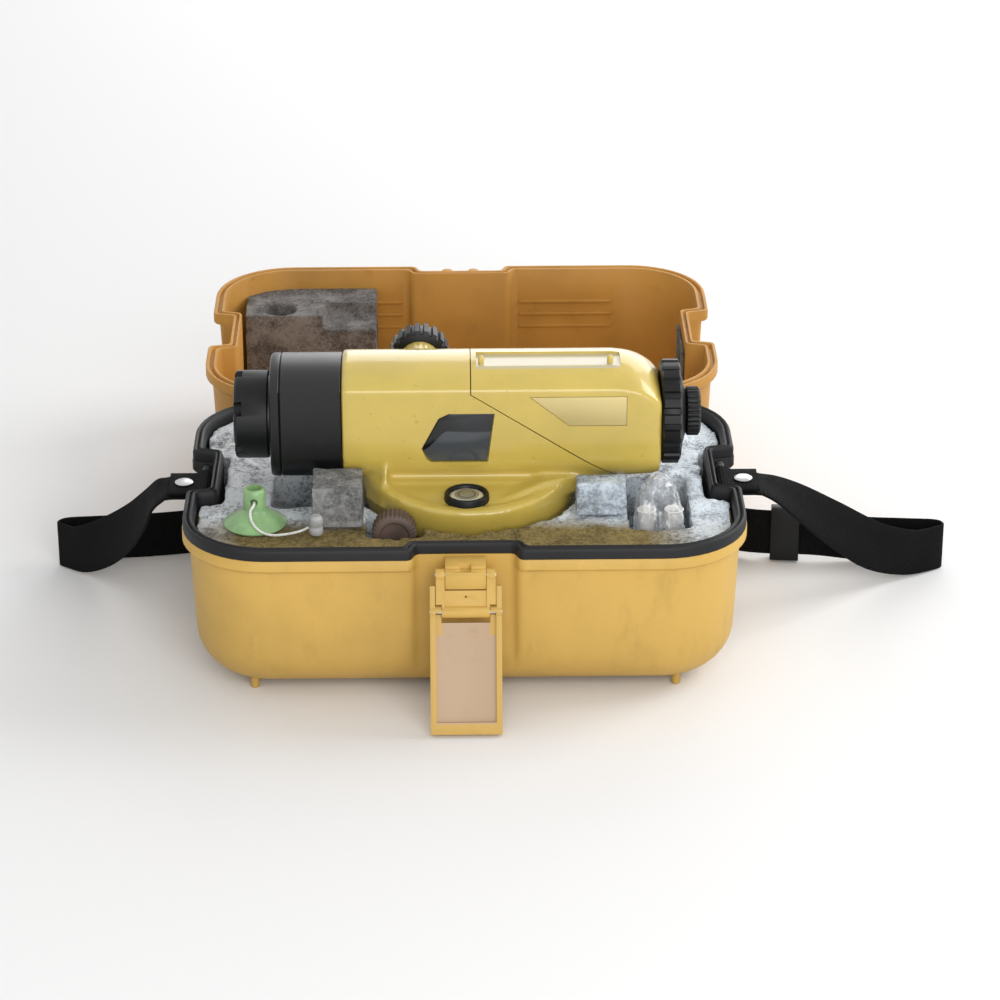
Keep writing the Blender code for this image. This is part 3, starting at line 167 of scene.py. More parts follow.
HULL_RY = 63.0
HULL_LOW = 79.0
SHELF_Z = 106.0
SHELF_FALL = 6.0
SCOOP = 1.4
SCOOP_RIM = 7.0
HULL_CAVITY_R = 54.0
HULL_CAVITY_TOP = 99.0
BUBBLE = (1.3, -53.0)
BUBBLE_Z = SHELF_Z - 2.3
BUBBLE_R = 10.0
BEZEL_R = 13.0
TANGENT = (-41.0, 89.0)
TANGENT_R = 13.0
TANGENT_IN = 56.4
TANGENT_OUT = 70.0
SHAFT_ROOM = 2.8

# strap
STRAP_HALF = 15.0
STRAP_T = 1.6
STRAP_CLEAR = 4.0
BAR_X = CASE_HALF - 9.0
BAR_Z = 86.0
RIVET_X = BAR_X + 12.0
RIVET_R = 5.5
LOOP_R = 3.7
SLIDER_LIFT = 4.3

# suction cup, the bag, and the cord and toggle set out from the cup
CUP = (-122.0, -65.0)
CUP_R = 18.5
CUP_NECK_R = 6.5
CUP_TOP = 115.0
CUP_WALL = 2.2
CUP_BORE = 8.5
EYELET_Z = 108.5
EYELET_R = 2.2
CORD_R = 0.75
CORD_ROUTE = ((0.0, -5.0, 108.0), (0.0, -8.0, 107.6), (-2.0, -10.5, 104.5),
              (-1.0, -14.0, 99.5), (4.0, -18.0, 95.4), (11.0, -19.0, 93.6),
              (20.0, -17.0, 93.4), (27.0, -14.0, 93.8), (31.6, -15.0, 96.5))
TOGGLE = (36.0, -15.5)
BAG_BACK = -30.0

# the photograph's camera: place, turn in degrees and lens
CAMERA_PLACE = (-9.4, -1851.9, 939.4)
CAMERA_YAW = 0.96
CAMERA_PITCH = 25.0
CAMERA_ROLL = -0.05
CAMERA_LENS = 122.1
SENSOR = 36.0

# stage, in metres but for the floor: each lamp's place and size
LAMPS = {"key": ((1.6, 0.5, 1.1), 1.1), "fill": ((0.4, -1.9, 0.9), 1.5),
         "back": ((0.5, 1.9, 0.85), 1.6)}
LAMP_AIM = (0.0, 0.08, 0.08)
WALL_SEEN = (0.925, 0.925, 0.925)
FLOOR_HALF = 6000.0
FLOOR_T = 20.0

# steps along rounded forms

CORNER_STEPS = 12
SOFT_STEPS = 4
FILLET_STEPS = 9
KEEL_STEPS = 6
LOOP_STEPS = 12


# ------------------------------------------------------------------ mesh tools

def solid(name, points, faces):
    """A closed mesh object from points in millimetres."""
    mesh = bpy.data.meshes.new(name)
    mesh.from_pydata([Vector(p) * MM for p in points], [], faces)
    work = bmesh.new()
    work.from_mesh(mesh)
    bmesh.ops.recalc_face_normals(work, faces=work.faces)
    work.to_mesh(mesh)
    work.free()
    piece = bpy.data.objects.new(name, mesh)
    bpy.context.scene.collection.objects.link(piece)
    return piece


def loft(name, rings, closed=False):
    """Skin rings of equal length; open runs are capped at both ends."""
    count = len(rings[0])
    points = [p for ring in rings for p in ring]
    faces = []
    for row in range(len(rings) if closed else len(rings) - 1):
        a = row * count
        b = ((row + 1) % len(rings)) * count
        for col in range(count):
            nxt = (col + 1) % count
            faces.append((a + col, a + nxt, b + nxt, b + col))
    if not closed:
        faces.append(tuple(range(count)))
        faces.append(tuple(range(len(points) - count, len(points))))
    return solid(name, points, faces)


def block(name, x0, x1, y0, y1, z0, z1):
    """A block between two corners."""
    low = [(x0, y0, z0), (x1, y0, z0), (x1, y1, z0), (x0, y1, z0)]
    return loft(name, [low, [(x, y, z1) for x, y, _ in low]])


def along(axis, centre, radius, turn, reach):
    """A point at a radius and angle about an axis through the centre."""
    u = radius * math.cos(turn)
    v = radius * math.sin(turn)
    if axis == "x":
        return (reach, centre[0] + u, centre[1] + v)
    if axis == "y":
        return (centre[0] + u, reach, centre[1] + v)
    return (centre[0] + u, centre[1] + v, reach)


def mirrored(side, near, far, centre=0.0):
    """A span from near to far on one side of a centre, low end first."""
    return sorted((centre + side * near, centre + side * far))


def arc(centre, radius, start, sweep, steps):
    """Points along an arc, its ends included."""
    turns = [start + sweep * i / steps for i in range(steps + 1)]
    return [(centre[0] + radius * math.cos(t), centre[1] + radius * math.sin(t))
            for t in turns]


def side_shape(name, outline, y0, y1):
    """An outline of (x, z) points, pulled out along y."""
    return loft(name, [[(x, y, z) for x, z in outline] for y in (y0, y1)])


def end_shape(name, outline, x0, x1):
    """An outline of (y, z) points, pulled out along x."""
    return loft(name, [[(x, y, z) for y, z in outline] for x in (x0, x1)])


def lathe(name, axis, centre, profile, steps=64, bore=False):
    """Turn (radius, reach) pairs about an axis; bore makes a closed ring."""
    turns = [2 * math.pi * i / steps for i in range(steps)]
    rings = [[along(axis, centre, radius, t, reach) for t in turns]
             for radius, reach in profile]
    return loft(name, rings, closed=bore)


def rod(name, axis, centre, radius, start, end, steps=40):
    """A plain round bar, used as a tool or a part of a larger piece."""
    return lathe(name, axis, centre, [(radius, start), (radius, end)], steps)


SQUARE_RIB = ((0.0, 0), (0.26, 0), (0.5, 0), (0.58, 1), (0.75, 1), (0.92, 1))
ROUND_RIB = ((0.0, 0.0), (0.2, 0.2), (0.4, 0.85), (0.5, 1.0), (0.6, 0.85), (0.8, 0.2))


def ribbed(name, axis, centre, radius, depth, start, end, ribs, bore=0.0,
           form=SQUARE_RIB, dish=0.0):
    """A knob with grip ribs round its side and rounded rims."""
    turns = []
    cuts = []
    for rib in range(ribs):
        for part, share in form:
            turns.append(2 * math.pi * (rib + part) / ribs)
            cuts.append(share)
    way = 1.0 if end > start else -1.0
    core = radius - depth
    rows = [(start, core - 1.2, 0), (start + way * 0.5, core - 0.4, 0),
            (start + way * 1.3, radius, 1), (end - way * 1.3, radius, 1),
            (end - way * 0.5, core - 0.4, 0), (end, core - 1.2, 0)]
    if dish:
        rows += [(end, core - 3.2, 0), (end - way * dish, core - 4.2, 0),
                 (end - way * dish, core - 8.0, 0)]
    rings = []
    for reach, size, gripped in rows:
        rings.append([along(axis, centre, size - depth * share * gripped, t, reach)
                      for t, share in zip(turns, cuts)])
    if not bore:
        return loft(name, rings)
    for reach in (end, start):
        rings.append([along(axis, centre, bore, t, reach) for t in turns])
    return loft(name, rings, closed=True)


def apply_changes(piece):
    """Bake a piece's modifiers into its mesh."""
    bpy.context.view_layer.update()
    graph = bpy.context.evaluated_depsgraph_get()
    mesh = bpy.data.meshes.new_from_object(piece.evaluated_get(graph))
    piece.modifiers.clear()
    old = piece.data
    piece.data = mesh
    bpy.data.meshes.remove(old)
    return piece


def combine(base, tool, operation):
    """Apply a boolean of the tool to the base and drop the tool."""
    change = base.modifiers.new("change", "BOOLEAN")
    change.operation = operation
    change.solver = "EXACT"
    change.object = tool
    apply_changes(base)
    bpy.data.objects.remove(tool)
    return base


def cut(base, tool):
    """Take the tool's volume out of the base."""
    return combine(base, tool, "DIFFERENCE")


def join(base, tool):
    """Weld the tool's volume onto the base."""
    return combine(base, tool, "UNION")


def keep(base, tool):
    """Keep only what the base shares with the tool."""
    return combine(base, tool, "INTERSECT")


def round_edges(piece, width, segments=2, angle=32.0):
    """Roll over the sharp edges of a piece."""
    change = piece.modifiers.new("edges", "BEVEL")
    change.width = width * MM
    change.segments = segments
    change.limit_method = "ANGLE"
    change.angle_limit = math.radians(angle)
    return apply_changes(piece)


def remesh(piece, voxel, smooth=0):
    """Even out a piece's mesh and soften where its forms meet."""
    change = piece.modifiers.new("even", "REMESH")
    change.mode = "VOXEL"
    change.voxel_size = voxel * MM
    if smooth:
        soft = piece.modifiers.new("soft", "SMOOTH")
        soft.factor = 0.5
        soft.iterations = smooth
    return apply_changes(piece)


def shade(piece, angle=40.0):
    """Smooth shading with true creases kept."""
    piece.data.shade_smooth()
    piece.data.set_sharp_from_angle(angle=math.radians(angle))
    return piece


def sink(piece, depth_at):
    """Press a surface inwards by depth_at(place, normal), in millimetres."""
    mesh = piece.data
    moves = []
    for vertex in mesh.vertices:
        place = vertex.co / MM
        moves.append((vertex.normal.copy(), depth_at(place, vertex.normal)))
    for vertex, (normal, depth) in zip(mesh.vertices, moves):
        vertex.co -= normal * (depth * MM)
    mesh.update()
    return piece


def flip(piece):
    """Turn a piece half a turn about the hinge line, closed to open."""
    for vertex in piece.data.vertices:
        vertex.co.y = 2 * HINGE_Y * MM - vertex.co.y
        vertex.co.z = 2 * HINGE_Z * MM - vertex.co.z
    return piece


def finish_piece(piece, finish, body, slot, *nodes):
    """Give a piece its finish and its body and hide the nodes it shows; the slot is not used.
    """
    piece.data.materials.clear()
    piece.data.materials.append(KitFinishes.get(finish))
    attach(piece, body)
    if nodes:
        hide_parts(*nodes)
    return piece


# -------------------------------------------------------------- shader maths

class Value:
    """A number socket that can stand in an expression."""

    def __init__(self, looks, socket):
        self.looks = looks
        self.socket = socket

    def _with(self, operation, *values):
        return self.looks.maths(operation, *values)

    def __add__(self, other):
        return self._with("ADD", self, other)

    __radd__ = __add__

    def __sub__(self, other):
        return self._with("SUBTRACT", self, other)

    def __rsub__(self, other):
        return self._with("SUBTRACT", other, self)

    def __mul__(self, other):
        return self._with("MULTIPLY", self, other)

    __rmul__ = __mul__

    def clamp(self):
        return self._with("MINIMUM", self._with("MAXIMUM", self, 0.0), 1.0)

    def size(self):
        return self._with("ABSOLUTE", self)

    def ramp(self, low, high):
        """0 below low, 1 above high and smooth between."""
        node = self.looks.node("ShaderNodeMapRange",
                               {"interpolation_type": "SMOOTHSTEP"},
                               {"Value": self, "From Min": low, "From Max": high})
        return Value(self.looks, node.outputs["Result"])


class Tree:
    """A node tree being wired up."""

    def __init__(self, owner):
        owner.use_nodes = True
        self.tree = owner.node_tree

    def node(self, kind, settings=None, sockets=None):
        """A node of that type with its settings, then its values and links."""
        made = self.tree.nodes.new(kind)
        for word, setting in (settings or {}).items():
            setattr(made, word, setting)
        for word, value in (sockets or {}).items():
            self.feed(made.inputs[word], value)
        return made

    def feed(self, socket, value):
        if isinstance(value, Value):
            value = value.socket
        if isinstance(value, bpy.types.NodeSocket):
            self.tree.links.new(value, socket)
        elif socket.type == "RGBA" and len(value) == 3:
            socket.default_value = (*value, 1.0)
        else:
            socket.default_value = value

    def maths(self, operation, *values):
        made = self.node("ShaderNodeMath", {"operation": operation})
        for socket, value in zip(made.inputs, values):
            self.feed(socket, value)
        return Value(self, made.outputs[0])


class Looks(Tree):
    """One material being made."""

    def __init__(self, name):
        self.material = bpy.data.materials.new(name)
        super().__init__(self.material)
        self.shader = self.tree.nodes["Principled BSDF"]
        self.place = self.node("ShaderNodeTexCoord").outputs["Object"]

    def noise(self, scale, detail=3.0, rough=0.55, stretch=None):
        place = self.place
        if stretch:
            moved = self.node("ShaderNodeVectorMath", {"operation": "MULTIPLY"})
            self.feed(moved.inputs[0], self.place)
            self.feed(moved.inputs[1], stretch)
            place = moved.outputs[0]
        made = self.node("ShaderNodeTexNoise", {},
                         {"Vector": place, "Scale": scale, "Detail": detail,
                          "Roughness": rough})
        return Value(self, made.outputs["Fac"])

    def cells(self, scale):
        made = self.node("ShaderNodeTexVoronoi", {},
                         {"Vector": self.place, "Scale": scale})
        return Value(self, made.outputs["Distance"])

    def axis(self, letter):
        made = self.node("ShaderNodeSeparateXYZ", {}, {"Vector": self.place})
        return Value(self, made.outputs[letter])

    def mix(self, low, high, share):
        """Colour low where share is 0 and colour high where it is 1."""
        made = self.node("ShaderNodeMix", {"data_type": "RGBA"})
        self.feed(made.inputs["Factor"], share)
        self.feed(made.inputs[6], low)
        self.feed(made.inputs[7], high)
        return made.outputs[2]

    def bump(self, height, strength, depth):
        made = self.node("ShaderNodeBump", {},
                         {"Height": height, "Strength": strength,
                          "Distance": depth * MM})
        self.feed(self.shader.inputs["Normal"], made.outputs["Normal"])

    def set(self, **sockets):
        for word, value in sockets.items():
            self.feed(self.shader.inputs[word.replace("_", " ")], value)


def tint(colour, share):
    """A colour made lighter or darker by a share."""
    return tuple(min(c * share, 1.0) for c in colour)


def moulded(name, colour, rough=0.5, swing=0.12, grain=1500.0, bump=0.12,
            blotch=22.0, depth=0.78, dirt=0.0, dirt_colour=(0.16, 0.10, 0.05), shine=0.5):
    """Moulded plastic or rubber: fine grain, faint blotches, some dirt."""
    looks = Looks(name)
    fine = looks.noise(grain, 2.0)
    wide = looks.noise(blotch, 4.0, 0.6)
    base = looks.mix(tint(colour, depth), colour, wide.ramp(0.3, 0.62))
    if dirt:
        smear = looks.noise(60.0, 6.0, 0.7).ramp(0.55, 0.8) * dirt
        base = looks.mix(base, dirt_colour, smear)
    looks.set(Base_Color=base, Specular_IOR_Level=shine,
              Roughness=(rough - swing / 2 + wide * swing + (fine - 0.5) * 0.1).clamp())
    looks.bump(fine + wide * 0.3, bump, 0.15)
    return looks.material


def metal(name, colour, rough=0.3, brushed=(40.0, 40.0, 2500.0)):
    """Turned or drawn metal with fine brush marks and dull patches."""
    looks = Looks(name)
    brush = looks.noise(1.0, 3.0, 0.6, brushed)
    dull = looks.noise(90.0, 4.0, 0.6)
    looks.set(Base_Color=looks.mix(tint(colour, 0.72), colour, dull.ramp(0.3, 0.6)),
              Roughness=(rough + (brush - 0.5) * 0.2 + dull * 0.12).clamp(),
              Metallic=1.0)
    looks.bump(brush, 0.15, 0.05)
    return looks.material


def block_foam(name, colour):
    """Cut foam: coarse cells, crumbs and lumps."""
    looks = Looks(name)
    cells = looks.cells(1100.0)
    crumbs = looks.noise(500.0, 5.0, 0.75)
    lumps = looks.noise(60.0, 4.0, 0.65)
    base = looks.mix(tint(colour, 0.42), tint(colour, 1.28),
                     (crumbs * 0.5 + lumps * 0.6).ramp(0.42, 0.68))
    base = looks.mix(base, tint(colour, 0.25), (1 - cells.ramp(0.0, 0.3)) * 0.45)
    looks.set(Base_Color=base, Roughness=0.95, Specular_IOR_Level=0.15)
    looks.bump(crumbs + cells * 0.6, 0.6, 0.6)
    return looks.material


class KitFinishes:
    made = {}

    @classmethod
    def get(cls, name):
        if name not in cls.made:
            cls.made[name] = getattr(cls, name)(bpy.context.scene)
        return cls.made[name]

    @staticmethod
    def shell(scene):
        """Case plastic: blotches, dirt towards the floor, scuffs and painted near-black shade
        in the notches.
        """
        colour = scene.kit_case.shell_colour
        looks = Looks("case_plastic")
        fine = looks.noise(1300.0, 2.0)
        wide = looks.noise(9.0, 4.0, 0.6)
        smear = looks.noise(45.0, 6.0, 0.72, (1.0, 1.0, 0.45))
        scuff = looks.noise(260.0, 3.0, 0.6, (1.0, 1.0, 0.2)).ramp(0.66, 0.78)
        base = looks.mix(tint(colour, 0.84), colour, wide.ramp(0.3, 0.65))
        low = 1 - looks.axis("Z").ramp(0.005, 0.06)
        dirt = (smear.ramp(0.5, 0.85) * 0.45 + low * smear * 0.5).clamp()
        base = looks.mix(base, tint(colour, 0.5), dirt)
        base = looks.mix(base, tint(colour, 1.25), scuff * 0.35)
        # painted shade: above 66 mm the notch walls, inside and out, are painted near black
        # where shade falls in the notches and the gaps beside them
        painted_notch_shade = looks.axis("Z").ramp(0.066, 0.067) * looks.axis("X").size().ramp(0.12, 0.121)
        painted_notch_shade = painted_notch_shade * (1 - (looks.axis("Y") - NOTCH_Y * MM).size().ramp(0.0325, 0.033))
        base = looks.mix(base, (0.012, 0.012, 0.013), painted_notch_shade)
        looks.set(Base_Color=base,
                  Roughness=(0.42 + smear * 0.18 + (fine - 0.5) * 0.1).clamp(),
                  Specular_IOR_Level=0.45)
        looks.bump(fine + wide * 0.4 - scuff * 0.3, 0.12, 0.18)
        return looks.material

    @staticmethod
    def lid(scene):
        """Lid plastic, darker, redder and more smeared than the tub; its colour is partly its
        own orange, partly painted shade and orange light bounced inside it.
        """
        colour = scene.kit_case.lid_colour_with_shade
        looks = Looks("lid_plastic")
        fine = looks.noise(1300.0, 2.0)
        wide = looks.noise(12.0, 4.0, 0.6)
        smear = looks.noise(70.0, 6.0, 0.72)
        base = looks.mix(tint(colour, 0.78), colour, wide.ramp(0.3, 0.65))
        base = looks.mix(base, tint(colour, 0.45), smear.ramp(0.55, 0.8) * 0.5)
        looks.set(Base_Color=base,
                  Roughness=(0.42 + smear * 0.2 + (fine - 0.5) * 0.1).clamp(),
                  Specular_IOR_Level=0.3)
        looks.bump(fine + wide * 0.5, 0.12, 0.18)
        return looks.material

    @staticmethod
    def latch(scene):
        """Latch plastic with its faded finger panel."""
        colour = scene.kit_case.shell_colour
        faded = scene.kit_case.latch_panel_colour
        looks = Looks("latch_plastic")
        fine = looks.noise(1300.0, 2.0)
        smear = looks.noise(90.0, 6.0, 0.7)
        x = looks.axis("X").size()
        z = looks.axis("Z")
        upper = z.ramp(0.0505, 0.0515)
        panel = (1 - x.ramp(0.0166, 0.0173)) * (1 - upper) * z.ramp(0.0028, 0.0036)
        panel = panel + (1 - x.ramp(0.0132, 0.0138)) * upper * (1 - z.ramp(0.0578, 0.0584))
        base = looks.mix(tint(colour, 0.9), tint(faded, 0.92), panel)
        base = looks.mix(base, tint(colour, 0.55), smear.ramp(0.55, 0.85) * 0.35)
        looks.set(Base_Color=base,
                  Roughness=(0.42 + smear * 0.2 + (fine - 0.5) * 0.1).clamp())
        looks.bump(fine + smear * 0.3, 0.12, 0.15)
        return looks.material

    @staticmethod
    def rubber(scene):
        """Seal rubber."""
        return moulded("seal_rubber", scene.kit_case.seal_colour, 0.55,
                       0.2, 1800.0, 0.2, 30.0, 0.6, 0.12, (0.05, 0.048, 0.045), 0.35)

    @staticmethod
    def foam(scene):
        """Torn foam bed: pale, with painted shade at the left under the barrel, dusty along
        the front, and painted shade in its wells below the top.
        """
        pale = scene.kit_case.foam_colour
        brown = scene.kit_case.foam_dust_colour
        looks = Looks("torn_foam")
        cells = looks.cells(900.0)
        crumbs = looks.noise(420.0, 5.0, 0.75)
        lumps = looks.noise(70.0, 5.0, 0.7)
        wide = looks.noise(18.0, 3.0)
        mottle = (lumps * 0.7 + crumbs * 0.5).ramp(0.44, 0.66)
        grey = looks.mix(tint(pale, 0.34), tint(pale, 1.12), mottle)
        # painted shade: at the left, under the barrel, the foam is painted darker and greyer
        # where shade falls
        painted_shade_grey = looks.mix((0.17, 0.165, 0.155), (0.70, 0.70, 0.69), mottle)
        left = 1 - (looks.axis("X") + (wide - 0.5) * 0.04).ramp(-0.13, -0.06)
        grey = looks.mix(grey, painted_shade_grey, left * 0.7)
        front = 1 - (looks.axis("Y") + (wide - 0.5) * 0.03).ramp(-0.074, -0.052)
        middle = 1 - (looks.axis("X") + 0.012 + (wide - 0.5) * 0.05).size().ramp(0.118, 0.150)
        dusty = (front * (0.25 + middle * 0.75) + (wide.ramp(0.55, 0.75)) * 0.2).clamp()
        dust = looks.mix(tint(brown, 0.5), tint(brown, 1.35),
                         (crumbs * 0.6 + lumps * 0.5).ramp(0.38, 0.68))
        base = looks.mix(grey, dust, dusty)
        pits = (1 - cells.ramp(0.0, 0.35)) * 0.4 + (1 - crumbs.ramp(0.3, 0.5)) * 0.5
        # painted shade: below the foam's top, in the wells, the foam is darkened towards near
        # black, along with its pits
        painted_well_shade = 1 - looks.axis("Z").ramp(0.066, 0.090)
        base = looks.mix(base, (0.03, 0.03, 0.033), (pits * 0.6 + painted_well_shade * 0.6).clamp())
        looks.set(Base_Color=base, Roughness=0.96, Specular_IOR_Level=0.15)
        looks.bump(crumbs + cells * 0.6 + lumps, 0.75, 0.9)
        return looks.material

    @staticmethod
    def pillar_dark(scene):
        """Left pillar's foam."""
        return block_foam("dark_pillar_foam", scene.kit_case.pillar_dark_colour)

    @staticmethod
    def pillar_pale(scene):
        """Right pillar's foam."""
        return block_foam("pale_pillar_foam", scene.kit_case.pillar_pale_colour)

    @staticmethod
    def lid_foam(scene):
        """Foam in the lid."""
        return block_foam("lid_block_foam", scene.kit_case.lid_foam_colour)

    @staticmethod
    def webbing(scene):
        """Strap webbing, woven along its own map."""
        colour = scene.kit_case.strap_colour
        looks = Looks("webbing")
        uv = looks.node("ShaderNodeUVMap", {"uv_map": "weave"})
        parts = looks.node("ShaderNodeSeparateXYZ", {}, {"Vector": uv.outputs["UV"]})
        across = Value(looks, parts.outputs["X"])
        run = Value(looks, parts.outputs["Y"])
        ribs = looks.maths("SINE", run * (2 * math.pi / (1.7 * MM)))
        threads = looks.maths("SINE", across * (2 * math.pi / (1.1 * MM)))
        weave = ribs * 0.6 + ribs * threads * 0.4
        fuzz = looks.noise(900.0, 3.0, 0.7)
        wear = looks.noise(40.0, 4.0, 0.6).ramp(0.5, 0.8)
        base = looks.mix(tint(colour, 0.5), tint(colour, 2.0), weave.ramp(-0.6, 0.9))
        base = looks.mix(base, (0.009, 0.009, 0.01), wear * 0.3)
        looks.set(Base_Color=base, Roughness=(0.72 + fuzz * 0.2).clamp(),
                  Specular_IOR_Level=0.13)
        looks.bump(weave + fuzz * 0.5, 0.6, 0.4)
        return looks.material

    @staticmethod
    def paint(scene):
        """Enamel of the level, with a pale line along its sighting groove that is a painted
        highlight.
        """
        colour = scene.kit_level.body_colour
        looks = Looks("level_enamel")
        peel = looks.noise(420.0, 2.0)
        fine = looks.noise(1900.0, 2.0)
        wide = looks.noise(14.0, 4.0, 0.6)
        spots = looks.noise(330.0, 2.0, 0.5).ramp(0.70, 0.76)
        base = looks.mix(tint(colour, 0.9), tint(colour, 1.04), wide.ramp(0.35, 0.65))
        base = looks.mix(base, tint(colour, 0.35), spots * 0.35)
        x, z = looks.axis("X"), looks.axis("Z")
        # painted highlight: a pale line on the sighting groove's floor stands in for light
        # caught there
        groove_highlight = z.ramp(0.1712, 0.1714) * (1 - z.ramp(0.1718, 0.1720))
        groove_highlight = groove_highlight * x.ramp(0.0072, 0.0076) * (1 - x.ramp(0.0916, 0.092))
        base = looks.mix(base, (0.50, 0.47, 0.36), groove_highlight * 0.8)
        looks.set(Base_Color=base,
                  Roughness=(0.34 + wide * 0.08 + (fine - 0.5) * 0.08).clamp(),
                  Specular_IOR_Level=0.4, Coat_Weight=0.7, Coat_Roughness=0.13,
                  Coat_IOR=1.65)
        looks.bump(peel + fine * 0.4, 0.05, 0.10)
        return looks.material

    @staticmethod
    def label(scene):
        """Bare label plate."""
        colour = scene.kit_level.label_colour
        looks = Looks("label_face")
        brush = looks.noise(1.0, 3.0, 0.6, (60.0, 60.0, 2400.0))
        wide = looks.noise(40.0, 3.0)
        looks.set(Base_Color=looks.mix(tint(colour, 0.9), colour, wide),
                  Roughness=(0.3 + brush * 0.15).clamp(), Metallic=0.25)
        looks.bump(brush, 0.05, 0.05)
        return looks.material

    @staticmethod
    def black_enamel(scene):
        """Black enamel of barrel and foot."""
        return moulded("black_enamel", scene.kit_level.black_colour, 0.34,
                       0.14, 1700.0, 0.1, 40.0, 0.7, 0.12, (0.06, 0.066, 0.075))

    @staticmethod
    def black_plastic(scene):
        """Black plastic of cap, rings and knobs."""
        return moulded("black_plastic", tint(scene.kit_level.black_colour, 0.8), 0.42,
                       0.16, 1400.0, 0.14, 60.0, 0.65, 0.12, (0.05, 0.05, 0.05), 0.3)

    @staticmethod
    def knob_brown(scene):
        """Worn rubber of the slow motion knobs."""
        return moulded("knob_rubber", scene.kit_level.knob_colour, 0.6, 0.2,
                       1200.0, 0.2, 60.0, 0.6, 0.4, (0.22, 0.16, 0.12))

    @staticmethod
    def mirror(scene):
        """Side window: dark above, a grey reflection below."""
        looks = Looks("window_mirror")
        z = looks.axis("Z")
        x = looks.axis("X")
        haze = looks.noise(50.0, 4.0)
        slope = (0 - x - 0.009).ramp(0.0, 0.016) * 0.012
        low = 1 - (z + slope + (haze - 0.5) * 0.002).ramp(0.1365, 0.1378)
        dark = looks.mix((0.004, 0.0045, 0.005), (0.012, 0.013, 0.015),
                         haze.ramp(0.35, 0.65))
        base = looks.mix(dark, (0.060, 0.067, 0.074), low)
        looks.set(Base_Color=base, Roughness=(0.08 + haze * 0.14).clamp())
        looks.bump(haze, 0.05, 0.05)
        return looks.material

    @staticmethod
    def vial(scene):
        """Circular vial with its ring and pale edge."""
        looks = Looks("vial_glass")
        x = looks.axis("X") - BUBBLE[0] * MM
        y = looks.axis("Y") - BUBBLE[1] * MM
        reach = looks.maths("SQRT", x * x + y * y)
        ring = (reach.ramp(0.0042, 0.0046)) * (1 - reach.ramp(0.0052, 0.0056))
        haze = looks.noise(200.0, 3.0)
        base = looks.mix((0.16, 0.16, 0.12), (0.30, 0.30, 0.25), haze)
        base = looks.mix(base, (0.66, 0.62, 0.44), reach.ramp(0.0070, 0.0076))
        base = looks.mix(base, (0.03, 0.03, 0.03), ring * 0.8)
        looks.set(Base_Color=base, Roughness=(0.05 + haze * 0.08).clamp(),
                  Coat_Weight=0.6, Coat_Roughness=0.05)
        looks.bump(haze, 0.03, 0.05)
        return looks.material

    @staticmethod
    def steel(scene):
        """Drawn steel of pins and rivets."""
        return metal("pin_steel", (0.56, 0.56, 0.57), 0.28)

    @staticmethod
    def alloy(scene):
        """Cast alloy of cells and plates."""
        return metal("cast_alloy", (0.50, 0.51, 0.52), 0.4, (900.0, 900.0, 900.0))

    @staticmethod
    def brass(scene):
        """Turned brass of gears and bearings."""
        return metal("turned_brass", (0.60, 0.42, 0.16), 0.3)

    @staticmethod
    def glass(scene):
        """Coated lens glass with a faint smear."""
        colour = (0.78, 0.86, 0.90)
        looks = Looks("lens_glass")
        smear = looks.noise(120.0, 3.0)
        looks.set(Base_Color=looks.mix(tint(colour, 0.85), colour, smear),
                  Roughness=(0.04 + smear * 0.06).clamp(),
                  Transmission_Weight=0.6, IOR=1.5)
        looks.bump(smear, 0.02, 0.02)
        return looks.material

    @staticmethod
    def cup(scene):
        """Soft rubber of the suction cup."""
        colour = scene.kit_case.cup_colour
        looks = Looks("cup_rubber")
        fine = looks.noise(1500.0, 2.0)
        wide = looks.noise(70.0, 4.0)
        dirt = looks.noise(160.0, 5.0, 0.7).ramp(0.55, 0.8)
        base = looks.mix(tint(colour, 0.75), tint(colour, 1.1), wide.ramp(0.3, 0.7))
        base = looks.mix(base, (0.10, 0.13, 0.08), dirt * 0.4)
        looks.set(Base_Color=base, Roughness=(0.32 + wide * 0.2).clamp(),
                  Coat_Weight=0.2, Subsurface_Weight=0.08)
        looks.bump(fine + wide, 0.12, 0.15)
        return looks.material

    @staticmethod
    def cord(scene):
        """Braided cord."""
        looks = Looks("braided_cord")
        twist = looks.noise(1.0, 3.0, 0.6, (1400.0, 1400.0, 1400.0))
        wide = looks.noise(120.0, 3.0)
        looks.set(Base_Color=looks.mix((0.52, 0.51, 0.48), (0.86, 0.85, 0.82),
                                       (twist * 0.6 + wide * 0.5).ramp(0.3, 0.7)),
                  Roughness=(0.7 + twist * 0.2).clamp())
        looks.bump(twist, 0.5, 0.2)
        return looks.material

    @staticmethod
    def grey_plastic(scene):
        """Toggle plastic."""
        return moulded("toggle_plastic", (0.42, 0.42, 0.42), 0.45, 0.15, 1500.0,
                       0.12, 90.0, 0.75, 0.3)

    @staticmethod
    def film(scene):
        """Clear crumpled film."""
        looks = Looks("clear_film")
        crease = looks.noise(1.0, 5.0, 0.62, (300.0, 300.0, 55.0))
        milky = looks.noise(60.0, 3.0)
        looks.set(Base_Color=looks.mix((0.70, 0.74, 0.80), (0.94, 0.95, 0.97),
                                       crease.ramp(0.35, 0.65)),
                  Roughness=(0.15 + milky * 0.2).clamp(),
                  Alpha=(0.16 + crease.ramp(0.45, 0.70) * 0.6).clamp())
        looks.bump(crease + milky, 0.3, 0.5)
        return looks.material

    @staticmethod
    def paper(scene):
        """White spares in the bag."""
        looks = Looks("spares_white")
        crease = looks.noise(220.0, 4.0)
        looks.set(Base_Color=looks.mix((0.62, 0.62, 0.60), (0.86, 0.86, 0.84),
                                       crease.ramp(0.3, 0.65)),
                  Roughness=(0.55 + crease * 0.2).clamp())
        looks.bump(crease, 0.3, 0.3)
        return looks.material


# ------------------------------------------------------------------ case forms

